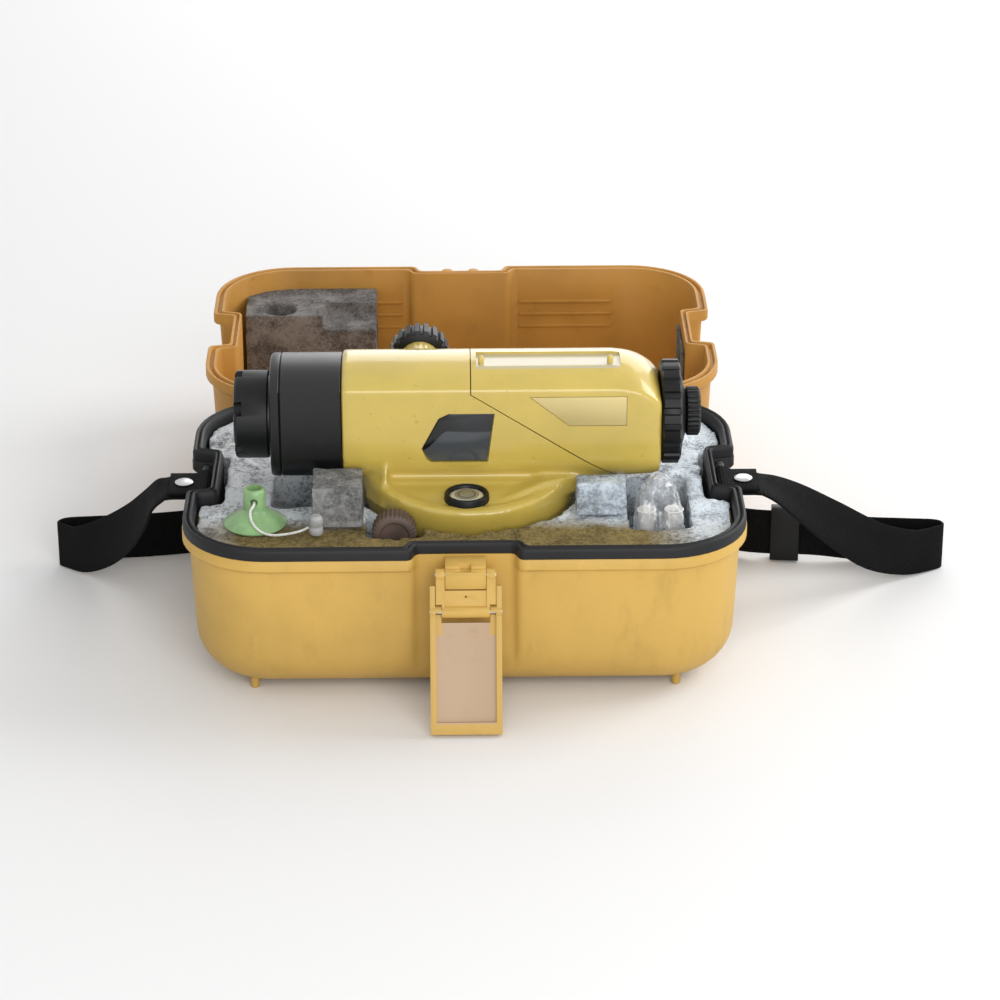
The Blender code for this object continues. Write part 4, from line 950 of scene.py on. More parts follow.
def rounded(corners):
    """Points round a closed outline; (x, y, softness) corners are rolled over."""
    points = []
    count = len(corners)
    for i, (x, y, soft) in enumerate(corners):
        here = Vector((x, y))
        if not soft:
            points.append((x, y))
            continue
        before = Vector(corners[i - 1][:2]) - here
        after = Vector(corners[(i + 1) % count][:2]) - here
        start = here + before.normalized() * min(soft, before.length * 0.45)
        end = here + after.normalized() * min(soft, after.length * 0.45)
        for k in range(SOFT_STEPS + 1):
            t = k / SOFT_STEPS
            spot = start * (1 - t) ** 2 + here * (2 * t * (1 - t)) + end * t ** 2
            points.append((spot.x, spot.y))
    return points


def case_outline(inset, wall=0.0):
    """The case seen from above, drawn in from its rim, with its notches."""
    hx = CASE_HALF - inset
    front = CASE_FRONT - inset
    back = CASE_BACK - inset
    radius = max(CORNER_R - inset, 8.0)
    side = min(hx, CASE_HALF - NOTCH_DEPTH - wall)
    half = NOTCH_HALF + wall
    dent = min(front, CASE_FRONT - RECESS_DEPTH - wall)
    wide = RECESS_HALF + wall
    soft = 3.0
    corners = [(-wide - NOTCH_SLOPE, -front, soft), (-wide, -dent, soft),
               (wide, -dent, soft), (wide + NOTCH_SLOPE, -front, soft)]

    def corner(cx, cy, start):
        corners.extend((x, y, 0.0) for x, y in
                       arc((cx, cy), radius, start, math.pi / 2, CORNER_STEPS))

    corner(hx - radius, -front + radius, -math.pi / 2)
    corners += [(hx, NOTCH_Y - half - NOTCH_SLOPE, soft), (side, NOTCH_Y - half, soft),
                (side, NOTCH_Y + half, soft), (hx, NOTCH_Y + half + NOTCH_SLOPE, soft)]
    corner(hx - radius, back - radius, 0.0)
    corner(-hx + radius, back - radius, math.pi / 2)
    corners += [(-hx, NOTCH_Y + half + NOTCH_SLOPE, soft), (-side, NOTCH_Y + half, soft),
                (-side, NOTCH_Y - half, soft), (-hx, NOTCH_Y - half - NOTCH_SLOPE, soft)]
    corner(-hx + radius, -front + radius, math.pi)
    return rounded(corners)


def level_ring(inset, z, wall=0.0):
    """The case outline at one height."""
    return [(x, y, z) for x, y in case_outline(inset, wall)]


def shell_rows(height, thick):
    """(inset, depth) pairs up one side of a shell, from its floor to its side."""
    lip = height - FLANGE_H
    side = FLANGE_LIP + DRAFT * (lip - FILLET_R)
    radius = FILLET_R - thick
    rows = []
    for i in range(FILLET_STEPS + 1):
        turn = math.pi / 2 * i / FILLET_STEPS
        rows.append((side + thick + radius * (1 - math.sin(turn)),
                     FILLET_R - radius * math.cos(turn)))
    return rows, lip


def make_shell(name, height, double_lip):
    """A tub with its floor at depth 0 and its rim at the given height."""
    outer, lip = shell_rows(height, 0.0)
    inner, lip = shell_rows(height, WALL)
    rings = [level_ring(i, z) for i, z in outer]
    rings += [level_ring(FLANGE_LIP, lip), level_ring(1.2, lip + 0.5),
              level_ring(0.0, lip + 1.8), level_ring(0.0, height - 0.7),
              level_ring(0.5, height)]
    if double_lip:
        for share, drop in ((0.26, 0.0), (0.34, 0.6), (0.38, 2.4), (0.62, 2.4),
                            (0.66, 0.6), (0.74, 0.0)):
            rings.append(level_ring(RIM_W * share, height - drop, NOTCH_WALL * share))
    rings += [level_ring(RIM_W - 0.5, height, NOTCH_WALL - 0.4),
              level_ring(RIM_W, height - 0.7, NOTCH_WALL)]
    rings += [level_ring(i, z, NOTCH_WALL) for i, z in reversed(inner)]
    return loft(name, rings)


def knuckle(base, x0, x1, up):
    """Weld one hinge knuckle to a rim; up is 1 for the lid, -1 for the tub."""
    back = HINGE_Y + KNUCKLE_R
    join(base, rod("eye", "x", (HINGE_Y, HINGE_Z), KNUCKLE_R, x0, x1, 32))
    low, high = sorted((HINGE_Z, HINGE_Z + up * 7.9))
    join(base, block("web", x0, x1, CASE_BACK + 0.6, back, low, high))
    low, high = sorted((HINGE_Z + up * 7.4, HINGE_Z + up * 14.0))
    join(base, block("root", x0, x1, CASE_BACK - 2.5, back, low, high))


def bore_hinge(base):
    """Drill the hinge line through a shell's knuckles."""
    reach = KNUCKLE_X + KNUCKLE_TUB + KNUCKLE_LID
    cut(base, rod("drill", "x", (HINGE_Y, HINGE_Z), PIN_ROOM, -reach, reach, 24))


def make_tub():
    """Lower half of the case with feet, hinge knuckles and latch block."""
    tub = make_shell("tub_shell", FLANGE_TOP, False)
    for sx in (-1, 1):
        for y in (-FOOT_Y, FOOT_Y - 6):
            join(tub, lathe("foot", "z", (sx * FOOT_X, y),
                            [(FOOT_R - 0.6, FLOOR), (FOOT_R, FLOOR + 0.6),
                             (FOOT_R, 2.5)], 24))
        mid = sx * KNUCKLE_X
        knuckle(tub, mid - KNUCKLE_TUB / 2, mid + KNUCKLE_TUB / 2, -1)
    bore_hinge(tub)
    half = LATCH_BLOCK_HALF
    y, z = LINK_PIN
    tab = block("tab", -half, half, y, RECESS_FACE + 4.0, z - 14, z + 5.2)
    join(tab, rod("nose", "x", LINK_PIN, LATCH_EYE_R, -half, half, 32))
    cut(tab, block("slot", -3.2, 3.2, y - 2.5, y + 4.0, z + 2.2, z + 8.0))
    join(tab, block("boss", -half, half, y - 3.8, y, z - 7.5, z + 1.5))
    join(tub, round_edges(tab, 0.8))
    cut(tub, rod("drill", "x", LINK_PIN, PIN_ROOM, -half - 1, half + 1, 24))
    return shade(tub)


def make_lid():
    """Upper half of the case, made shut and then laid open."""
    lid = make_shell("lid_shell", LID_H, True)
    for vertex in lid.data.vertices:
        vertex.co.z = (LID_RIM + LID_H) * MM - vertex.co.z
    lid.data.flip_normals()
    for sx in (-1, 1):
        mid = sx * KNUCKLE_X
        off = KNUCKLE_TUB / 2 + 0.4
        knuckle(lid, mid - off - KNUCKLE_LID, mid - off, 1)
        knuckle(lid, mid + off, mid + off + KNUCKLE_LID, 1)
        low, high = mirrored(sx, *LID_RIB_X)
        for z in LID_RIBS:
            bar = block("rib", low, high, LID_INNER - 1.5, LID_INNER + 2.6, z, z + 2.4)
            join(lid, round_edges(bar, 0.8))
        bump = lathe("keeper", "z", (sx * 9.0, RECESS_FACE - 2.8),
                     [(2.6, LID_RIM + 0.5), (3.6, LID_RIM + 1.0), (4.0, LID_RIM + 2.0),
                      (4.0, LID_RIM + 6.6), (3.0, LID_RIM + 8.0)], 28)
        join(lid, bump)
    bore_hinge(lid)
    return shade(flip(lid))


def make_seal():
    """Rubber seal on the tub rim: two beads, a groove and a skirt inside."""
    rows = ((0.06, SEAL_LOW), (0.06, 94.6), (0.10, 95.9), (0.18, 96.7),
            (0.28, SEAL_TOP), (0.38, 96.6), (0.45, 95.6), (0.5, 95.2), (0.55, 95.6),
            (0.62, 96.6), (0.72, SEAL_TOP), (0.82, 96.7), (0.90, 95.9),
            (0.98, 94.7), (1.05, 93.4), (1.05, 84.0), (1.012, 84.0), (1.012, SEAL_LOW))
    rings = [level_ring(RIM_W * s, z, NOTCH_WALL * s) for s, z in rows]
    return shade(loft("rim_bead", rings, closed=True), 50)


def bar_between(name, x0, x1, start, end, thick):
    """A flat bar from one (y, z) point to another."""
    dy = end[0] - start[0]
    dz = end[1] - start[1]
    size = math.hypot(dy, dz)
    ny = -dz / size * thick / 2
    nz = dy / size * thick / 2
    side = [(start[0] + ny, start[1] + nz), (end[0] + ny, end[1] + nz),
            (end[0] - ny, end[1] - nz), (start[0] - ny, start[1] - nz)]
    return end_shape(name, side, x0, x1)


def make_link():
    """The short link that joins the latch lever to the tub."""
    arm = LATCH_BLOCK_HALF + 0.4
    link = rod("latch_bow", "x", LEVER_PIN, LATCH_EYE_R, -LINK_BOW, LINK_BOW, 32)
    for sx in (-1, 1):
        a, b = mirrored(sx, arm, LINK_HALF)
        join(link, rod("eye", "x", LINK_PIN, LATCH_EYE_R, a, b, 32))
        join(link, bar_between("arm", a, b, LINK_PIN, LEVER_PIN, 5.0))
    mid = tuple(a + (b - a) * LINK_WEB for a, b in zip(LINK_PIN, LEVER_PIN))
    join(link, bar_between("web", -LINK_HALF, LINK_HALF, mid, LEVER_PIN, 3.0))
    for sx in (-1, 1):
        a, b = mirrored(sx, LINK_BOW, LEVER_HALF + 1.5)
        cut(link, rod("room", "x", LEVER_PIN, LATCH_EYE_R + 1.4, a, b, 32))
    cut(link, rod("pinhole", "y", (0.0, mid[1] - 3.0), 0.7, -140, -100, 12))
    for point in (LINK_PIN, LEVER_PIN):
        cut(link, rod("drill", "x", point, PIN_ROOM, -DRILL_REACH, DRILL_REACH, 24))
    return shade(round_edges(link, 0.5))


def make_lever():
    """The latch lever: ears beside the link and a panel open at its top."""
    low = LEVER_PIN
    tip = LEVER_TIP
    lever = bar_between("latch_handle", -LEVER_HALF, LEVER_HALF,
                        (low[0] - 1.9, low[1] - 6.2), tip, LEVER_T)
    for sx in (-1, 1):
        a, b = mirrored(sx, LINK_BOW + 0.4, LEVER_HALF)
        join(lever, rod("eye", "x", low, LATCH_EYE_R, a, b, 32))
        join(lever, bar_between("ear", a, b, low, (low[0] - 4.0, low[1] - 13.0), 5.6))
        a, b = mirrored(sx, LINK_HALF + 0.6, LEVER_HALF)
        join(lever, bar_between("horn", a, b, low, (low[0] + 4.9, low[1] + 14.2), 5.4))
    run = (tip[0] - low[0], tip[1] - low[1])
    span = math.hypot(*run)
    uy, uz = run[0] / span, run[1] / span
    out = (uz * LEVER_T / 2, -uy * LEVER_T / 2)
    a = (low[0] + out[0], low[1] + out[1])
    reach = span - PANEL_FOOT
    b = (low[0] + uy * reach + out[0], low[1] + uz * reach + out[1])
    half = LEVER_HALF - PANEL_SIDE
    cut(lever, bar_between("panel", -half, half, a, b, PANEL_DEPTH * 2))
    cut(lever, rod("drill", "x", low, PIN_ROOM, -DRILL_REACH, DRILL_REACH, 24))
    return shade(round_edges(lever, 0.9, 3))


# ------------------------------------------------------------------ foam forms

def torn(place, depth, patch=60.0):
    """How far a torn foam face is pressed in at one place."""
    spot = Vector(place) / patch
    wide = noise.noise(spot * 2.1)
    lumps = noise.noise(spot * 7.3 + Vector((3.1, 7.7, 1.3)))
    crumbs = noise.noise(spot * 21.0)
    pit = max(noise.noise(spot * 9.0 + Vector((9.0, 1.0, 4.0))) - 0.25, 0.0)
    size = 0.35 + 0.3 * wide + 0.3 * lumps + 0.16 * crumbs + 1.1 * pit
    return max(size, 0.0) * depth


def make_foam(tear):
    """Lower foam block with its wells, torn along its upper faces."""
    rows, lip = shell_rows(FLANGE_TOP, WALL + FOAM_SLACK)
    wall = NOTCH_WALL + FOAM_NOTCH
    rings = [level_ring(i, z, wall) for i, z in rows]
    rings.append(level_ring(RIM_W + FOAM_SLACK, lip, wall))
    rings.append(level_ring(RIM_W + FOAM_SLACK, FOAM_TOP, wall))
    foam = loft("foam_bed", rings)
    well = (LEVEL_X, LEVEL_Y)
    cut(foam, rod("well", "z", well, WELL_R, LEDGE_Z, CUT_TOP, 72))
    cut(foam, rod("well_low", "z", well, LEDGE_R, WELL_FLOOR, LEDGE_Z + 9, 72))
    for sign in (-1, 1):
        a, b = mirrored(sign, TANGENT_IN - 12, TANGENT_OUT + 3, LEVEL_Y)
        cut(foam, block("knob_room", TANGENT[0] - TANGENT_R - 2,
                        TANGENT[0] + TANGENT_R + 2, a, b,
                        TANGENT[1] - TANGENT_R - 2, CUT_TOP))
    for x0, x1, y0, y1, z0 in (POCKET, HOLLOW):
        cut(foam, block("pocket", x0, x1, y0, y1, z0, CUT_TOP))
    remesh(foam, 2.2)

    def depth(place, normal):
        if place.z < 60 or normal.z < -0.4:
            return 0.0
        under = math.hypot(place.x - CUP[0], place.y - CUP[1]) < CUP_R + 1
        return torn(place, tear * (0.25 if under else 1.0))

    return shade(sink(foam, depth), 60)


def make_pillar(name, spec, tear):
    """A loose foam pillar, cut by hand and a little ragged."""
    x0, x1, y0, y1, z1 = spec
    pillar = block(name, x0, x1, y0, y1, ON_FOAM, z1)
    remesh(pillar, 1.2, 4)
    return shade(sink(pillar, lambda p, n: torn(p, tear * 0.45, 30.0)
                      if p.z > FOAM_TOP + 3 else 0.0), 60)


def make_lid_block(tear):
    """Foam block glued in the lid's corner, with a hole for the cup's neck."""
    rows, _ = shell_rows(LID_H, WALL + FOAM_SLACK)
    wall = NOTCH_WALL + FOAM_SLACK
    rings = [level_ring(i, LID_RIM + LID_H - z, wall) for i, z in rows]
    rings.append(level_ring(RIM_W + FOAM_SLACK, LID_RIM, wall))
    foam = loft("lid_block", rings)
    x0, x1 = LID_BLOCK_X
    keep(foam, block("part", x0, x1, -CASE_FRONT, LID_BLOCK_BACK, LID_BLOCK_LOW,
                     LID_RIM + LID_H))
    left, _, front, _, top = PILLAR_LEFT
    cut(foam, block("relief", left - 4, x1 + 5, front - 5, LID_BLOCK_BACK + 5,
                    LID_BLOCK_LOW - 5, top + 2.5))
    for z in LID_RIBS:
        cut(foam, block("rib_room", -LID_RIB_X[1] - 1, -LID_RIB_X[0] + 1, LID_INNER - 3,
                        LID_INNER + 3.2, z - 0.6, z + 3.0))
    cut(foam, rod("hole", "z", CUP, 10.0, LID_BLOCK_LOW - 5, LID_BLOCK_LOW + 22, 40))
    remesh(foam, 1.8, 3)
    sink(foam, lambda p, n: torn(p, tear * 0.3, 40.0) if n.z < 0.3 else 0.0)
    return shade(flip(foam), 60)


def make_lid_pad():
    """Thin pad on the lid's end wall."""
    face = CASE_HALF - NOTCH_DEPTH - NOTCH_WALL - 0.3
    pad = block("lid_pad", face - 2.0, face, NOTCH_Y - 24, NOTCH_Y + 24,
                LID_RIM + 8, LID_RIM + 62)
    return shade(flip(round_edges(pad, 0.7, 3)), 50)


# ----------------------------------------------------------------- level forms

def body_section(inset, x, drop=0.0, steps=9):
    """Telescope body section: flat sides under a low arch, at one station."""
    half = BODY_HALF - inset
    low = BODY_LOW + inset
    arch = ARCH_R - inset
    centre = BODY_TOP - ARCH_R
    corner = max(BODY_CORNER_R - inset, 3.0)
    right = arc((half - corner, low + corner), corner, -math.pi / 2, math.pi / 2, steps)
    edge = math.acos(half / arch)
    right += arc((0.0, centre), arch, edge, math.pi / 2 - edge, steps)[:-1]
    points = right + [(0.0, centre + arch)] + [(-y, z) for y, z in reversed(right)]
    share = 1 - drop / (BODY_TOP - AXIS_Z)
    return [(x, LEVEL_Y + y, AXIS_Z + (z - AXIS_Z) * share if z > AXIS_Z else z)
            for y, z in points]


BODY_STATIONS = ((BODY_X0, 0.0, 0.0), (40.0, 0.0, 0.0), (88.0, 0.0, 0.0),
                 (94.0, 0.0, 0.8), (99.0, 0.0, 2.0), (104.0, 0.2, 4.0),
                 (108.0, 0.4, 6.5), (111.0, 0.7, 9.0), (113.0, 1.0, 11.0),
                 (BODY_X1, 2.0, 15.5))


def split_region(name, grow):
    """Side view of the rear cover, pulled out across the body."""
    outline = [(SPLIT_X - grow, 200.0), (SPLIT_X - grow, SPLIT_Z - grow / 2),
               (SPLIT_END_X - grow, SPLIT_END_Z - grow),
               (SPLIT_END_X - grow, 90.0), (140.0, 90.0), (140.0, 200.0)]
    return side_shape(name, outline, -70.0, 60.0)


def oval(rx, ry, z, steps=96):
    """An oval ring round the level's upright axis."""
    turns = [2 * math.pi * i / steps for i in range(steps)]
    return [(LEVEL_X + rx * math.cos(t), LEVEL_Y + ry * math.sin(t), z) for t in turns]


def keel_ring(x, half, low, high):
    """A rounded box section of the fairing under the body."""
    soft = min(half, high - low) * 0.4
    ring = arc((half - soft, low + soft), soft, -math.pi / 2, math.pi / 2, KEEL_STEPS)
    ring.append((half, high))
    full = [(-y, z) for y, z in reversed(ring)]
    return [(x, LEVEL_Y + y, z) for y, z in ring + full]


def cheek_ring(half, z):
    """One level of the block that carries the body at its objective end."""
    x0 = LEVEL_X - HULL_RX + 2.0 + (z - HULL_LOW) * 0.12
    x1 = x0 + 15.0 - (z - HULL_LOW) * 0.12
    return [(x0 + 9.0, LEVEL_Y - half, z), (x1, LEVEL_Y - half, z),
            (x1, LEVEL_Y + half, z), (x0 + 9.0, LEVEL_Y + half, z),
            (x0, LEVEL_Y + half * 0.6, z), (x0, LEVEL_Y - half * 0.6, z)]


def shelf_fall(name, sign, drop):
    """Wedge above one side's shelf, which falls away from the body."""
    start = LEVEL_Y + sign * BODY_HALF
    end = LEVEL_Y + sign * (HULL_RY + 2)
    side = [(start, SHELF_Z - drop), (end, SHELF_Z - SHELF_FALL - drop),
            (end, SHELF_Z + 9), (start, SHELF_Z + 9)]
    return end_shape(name, side, -90.0, 90.0)


def window_outline(s):
    """The five-sided viewing window, drawn in by s."""
    return [(-25 + s, 127 - s), (-22 + s, 120 + s), (-19 + s, 118 + s),
            (14 - s, 118 + s), (18 - s, 149 - s), (-9 + s, 149 - s), (-15 + s, 146 - s)]


def label_outline(g):
    """The label: a rectangle with a sloping left end, grown by g."""
    return [(39 - 3 * g, 159 + g), (95 + g, 159 + g), (95 + g, 141 - g),
            (62 - 3 * g, 141 - g)]


def body_casting():
    """Body, lower hull and fairing as one softened casting."""
    casting = loft("casting", [body_section(i, x, d) for x, i, d in BODY_STATIONS])
    hull = loft("hull", [
        oval(HULL_RX - 4.5, HULL_RY - 4, HULL_LOW),
        oval(HULL_RX - 2, HULL_RY - 2, HULL_LOW + 8),
        oval(HULL_RX, HULL_RY, 98.0), oval(HULL_RX - 0.2, HULL_RY - 0.2, 103.0),
        oval(HULL_RX - 1.4, HULL_RY - 1.4, SHELF_Z)])
    for sign in (-1, 1):
        cut(hull, shelf_fall("fall", sign, 0.0))
        scoop = loft("scoop", [oval(HULL_RX - SCOOP_RIM, HULL_RY - SCOOP_RIM, z)
                               for z in (SHELF_Z - 12.0, SHELF_Z + 5.0)])
        cut(hull, keep(scoop, shelf_fall("dip", sign, SCOOP)))
    join(hull, loft("keel", [keel_ring(14.0, 50.0, 88.0, 100.5),
                             keel_ring(30.0, 45.0, 89.0, 104.0),
                             keel_ring(47.0, 37.0, 91.0, 108.0),
                             keel_ring(62.0, 30.0, 95.0, 108.0),
                             keel_ring(84.0, 22.0, 100.5, 107.0)]))
    join(hull, loft("cheek", [cheek_ring(40.0, 93.0), cheek_ring(38.0, 101.0),
                              cheek_ring(33.5, 110.0), cheek_ring(29.0, 120.0)]))
    join(casting, hull)
    join(casting, rod("boss", "y", FOCUS, 13.0, 18.0, 29.6))
    return remesh(casting, 1.35, 7)


def make_housing(gap):
    """Main housing and rear cover, split along their joint line."""
    housing = body_casting()
    housing.name = "housing_shell"
    inside = loft("inside", [body_section(BODY_WALL, -90.0), body_section(BODY_WALL, 88.0),
                             body_section(BODY_WALL + 1, 104.0, 4.0),
                             body_section(BODY_WALL + 2, 130.0, 15.5)])
    cut(housing, inside)
    wall = LEVEL_Y - BODY_HALF
    cover = bpy.data.objects.new("cover_shell", housing.data.copy())
    bpy.context.scene.collection.objects.link(cover)
    keep(cover, split_region("rear", 0.0))
    cut(housing, split_region("rear", gap))
    cut(housing, rod("cavity", "z", (LEVEL_X, LEVEL_Y), HULL_CAVITY_R, HULL_LOW - 5,
                     HULL_CAVITY_TOP, 64))
    cut(housing, rod("seat", "z", BUBBLE, BEZEL_R + 0.3, BUBBLE_Z - 5.0, SHELF_Z + 12, 64))
    cut(housing, rod("drill", "y", FOCUS, SHAFT_ROOM, 10, 32, 24))
    for sign in (-1, 1):
        a, b = mirrored(sign, 20, TANGENT_IN, LEVEL_Y)
        cut(housing, rod("drill", "y", TANGENT, SHAFT_ROOM, a, b, 24))
    cut(housing, side_shape("window", window_outline(0.0), wall - 4, wall + 3.6))
    cut(cover, block("groove", SPLIT_X + 3, SPLIT_END_X - 2, LEVEL_Y - 13, LEVEL_Y + 5,
                     BODY_TOP - 2.2, BODY_TOP + 5))
    cut(cover, side_shape("label_room", label_outline(0.3), wall - 3, wall + 0.9))
    for x in (SPLIT_X + 6.0, SPLIT_END_X - 8.0):
        join(cover, lathe("sight_peg", "z", (x, LEVEL_Y - 8),
                          [(1.8, BODY_TOP - 3.2), (1.8, BODY_TOP + 1.4),
                           (1.4, BODY_TOP + 2.2), (0.7, BODY_TOP + 2.6)], 24))
    return shade(housing, 34), shade(cover, 34)


def make_barrel():
    """Black objective barrel, its front ring with the tube, and the cap."""
    centre = (LEVEL_Y, AXIS_Z)
    rows = ((BARREL_X0, 1.4), (BARREL_X0 + 0.7, 0.8), (BODY_X0 - 0.9, 0.8),
            (BODY_X0 - 0.3, 1.2))
    rows += ((BODY_X0 - 0.3, 5.8), (BARREL_X0, 5.8))
    rings = [body_section(i, x, BARREL_DROP) for x, i in rows]
    barrel = shade(loft("barrel_shell", rings, closed=True), 30)
    rows = ((BARREL_X0 - 0.3, 1.4), (BARREL_X0 - 0.9, 0.8), (RING_X0 + 2, 0.8),
            (RING_X0 + 0.6, 1.4), (RING_X0, 2.4))
    ring = loft("barrel_nose", [body_section(i, x, BARREL_DROP) for x, i in rows])
    join(ring, rod("tube", "x", centre, TUBE_R, TUBE_X0, RING_X0 + 1, 72))
    cut(ring, rod("bore", "x", centre, BARREL_BORE, TUBE_X0 - 3, BODY_X0, 72))
    shade(ring, 30)
    cap = lathe("cap_shell", "x", centre,
                [(CAP_R - 7.0, CAP_X0 + 1.6), (CAP_R - 6.0, CAP_X0 + 0.6),
                 (CAP_R - 2.6, CAP_X0), (CAP_R - 1.0, CAP_X0 + 0.5),
                 (CAP_R, CAP_X0 + 1.8), (CAP_R, CAP_X1 - 0.6), (CAP_R - 0.5, CAP_X1),
                 (TUBE_R + 0.4, CAP_X1), (TUBE_R + 0.4, TUBE_X0 - 1.0)], 96)
    for i in range(CAP_GRIPS):
        turn = 2 * math.pi * (i + 0.5) / CAP_GRIPS
        spot = (LEVEL_Y + CAP_R * math.cos(turn), AXIS_Z + CAP_R * math.sin(turn))
        cut(cap, rod("grip", "x", spot, CAP_GRIP_R, CAP_X0 - 2, TUBE_X0 - 3.2, 28))
    return barrel, ring, shade(round_edges(cap, 0.4, 2, 45), 35)


# ----------------------------------------------------------------- strap forms

def curve_through(points, steps):
    """Points on a smooth curve through the given ones."""
    result = []
    for i in range(len(points) - 1):
        p0 = Vector(points[max(i - 1, 0)])
        p1 = Vector(points[i])
        p2 = Vector(points[i + 1])
        p3 = Vector(points[min(i + 2, len(points) - 1)])
        for k in range(steps):
            t = k / steps
            result.append(0.5 * ((2 * p1) + (p2 - p0) * t
                          + (2 * p0 - 5 * p1 + 4 * p2 - p3) * t * t
                          + (3 * p1 - p0 - 3 * p2 + p3) * t * t * t))
    result.append(Vector(points[-1]))
    return result


def strap_loop(side):
    """The strap's end, folded back round its bar; side is 1 or -1."""
    flat = (0, 1, 0)
    top, low = BAR_Z + 1.3, BAR_Z - 1.3
    path = [((side * x, NOTCH_Y, top), flat)
            for x in (RIVET_X + 9.0, RIVET_X, BAR_X + 5.8)]
    path += [((side * x, NOTCH_Y, z), flat) for x, z in
             arc((BAR_X, BAR_Z), LOOP_R, math.pi / 2, math.pi, LOOP_STEPS)]
    path += [((side * x, NOTCH_Y, low), flat)
             for x in (BAR_X + 5.8, RIVET_X, RIVET_X + 6.6)]
    return path


def strap_path():
    """Whole route of the strap, from its right end behind the case to its left."""
    edge = FLOOR + STRAP_HALF + 0.3
    out = CASE_HALF
    back = CASE_BACK + STRAP_CLEAR
    right = [(out + 13.0, NOTCH_Y, BAR_Z - 1.6), (out + 24.0, 3.0, 79.0),
             (out + 40.0, 9.0, 67.0), (out + 63.0, 21.0, 47.0),
             (out + 89.0, 37.0, 25.0), (out + 113.0, 52.0, 13.0),
             (out + 131.0, 63.0, edge + 0.4)]
    turn = [(out + 136.0, 68.5, edge), (out + 132.0, 74.0, edge),
            (out + 115.0, 76.0, edge), (out + 85.0, 77.0, edge + 1),
            (out + 57.0, 78.0, edge + 4), (out + 21.0, 82.0, edge + 4),
            (out + 1.0, back - 16.0, edge + 1), (out - 19.0, back - 3.0, edge),
            (out - 55.0, back, edge), (50.0, back, edge), (-50.0, back, edge),
            (55.0 - out, back, edge), (19.0 - out, back - 3.0, edge),
            (-out - 5.0, back - 14.0, edge), (-out - 35.0, 92.0, edge),
            (-out - 67.0, 89.0, edge), (-out - 85.0, 87.0, edge),
            (-out - 90.0, 81.5, edge)]
    left = [(-out - 86.0, 76.5, edge + 0.4), (-out - 75.0, 66.0, 13.0),
            (-out - 59.0, 50.0, 25.0), (-out - 42.0, 30.0, 44.0),
            (-out - 29.0, 13.0, 64.0), (-out - 21.0, 4.0, 78.0),
            (-out - 13.0, NOTCH_Y, BAR_Z - 1.6)]
    fine = 6
    smooth = curve_through(right + turn + left, fine)
    count = len(smooth)
    first = fine * (len(right) - 2)
    path = []
    for i, point in enumerate(smooth):
        share = min(min(i, count - 1 - i) / first, 1.0)
        lean = math.pi / 2 * (3 * share ** 2 - 2 * share ** 3)
        near = 1.0 if i < first or i > count - 1 - first else 0.0
        path.append((tuple(point), (0.0, near * math.cos(lean), math.sin(lean))))
    return path


STRAP_PROFILE = ((-1.0, -0.4), (-0.97, -1.0), (-0.5, -1.0), (0.0, -1.0), (0.5, -1.0),
                 (0.97, -1.0), (1.0, -0.4), (1.0, 0.4), (0.97, 1.0), (0.5, 1.0),
                 (0.0, 1.0), (-0.5, 1.0), (-0.97, 1.0), (-1.0, 0.4))


def ribbon(name, path, half, thick):
    """Woven strap through (point, width direction) stations, with a weave map."""
    rings = []
    runs = []
    walked = 0.0
    for i, (point, across) in enumerate(path):
        here = Vector(point)
        before = Vector(path[max(i - 1, 0)][0])
        after = Vector(path[min(i + 1, len(path) - 1)][0])
        if i:
            walked += (here - before).length
        run = (after - before).normalized()
        wide = Vector(across)
        wide = (wide - run * wide.dot(run)).normalized()
        flat = run.cross(wide)
        rings.append([tuple(here + wide * (a * half) + flat * (b * thick / 2))
                      for a, b in STRAP_PROFILE])
        runs.append(walked)
    piece = loft(name, rings)
    count = len(STRAP_PROFILE)
    weave = piece.data.uv_layers.new(name="weave")
    for spot in piece.data.loops:
        row, col = divmod(spot.vertex_index, count)
        weave.data[spot.index].uv = (STRAP_PROFILE[col][0] * half * MM, runs[row] * MM)
    return piece, walked


def tube_along(name, points, radius, sides=14):
    """A round cord along a list of points, with flat ends."""
    rings = []
    for i, here in enumerate(points):
        before = points[max(i - 1, 0)]
        after = points[min(i + 1, len(points) - 1)]
        run = (after - before).normalized()
        wide = run.cross(Vector((0.23, 0.31, 0.92))).normalized()
        tall = run.cross(wide)
        turns = [2 * math.pi * k / sides for k in range(sides)]
        rings.append([tuple(here + wide * (radius * math.cos(t))
                            + tall * (radius * math.sin(t))) for t in turns])
    return loft(name, rings)


# ------------------------------------------------------------------ properties

def colour_prop(word, text, default):
    return FloatVectorProperty(name=word, description=text, subtype="COLOR", size=3,
                               min=0.0, max=1.0, default=default)


def amount_prop(word, text, default, low=0.0, **limits):
    return FloatProperty(name=word, description=text, default=default, min=low, **limits)


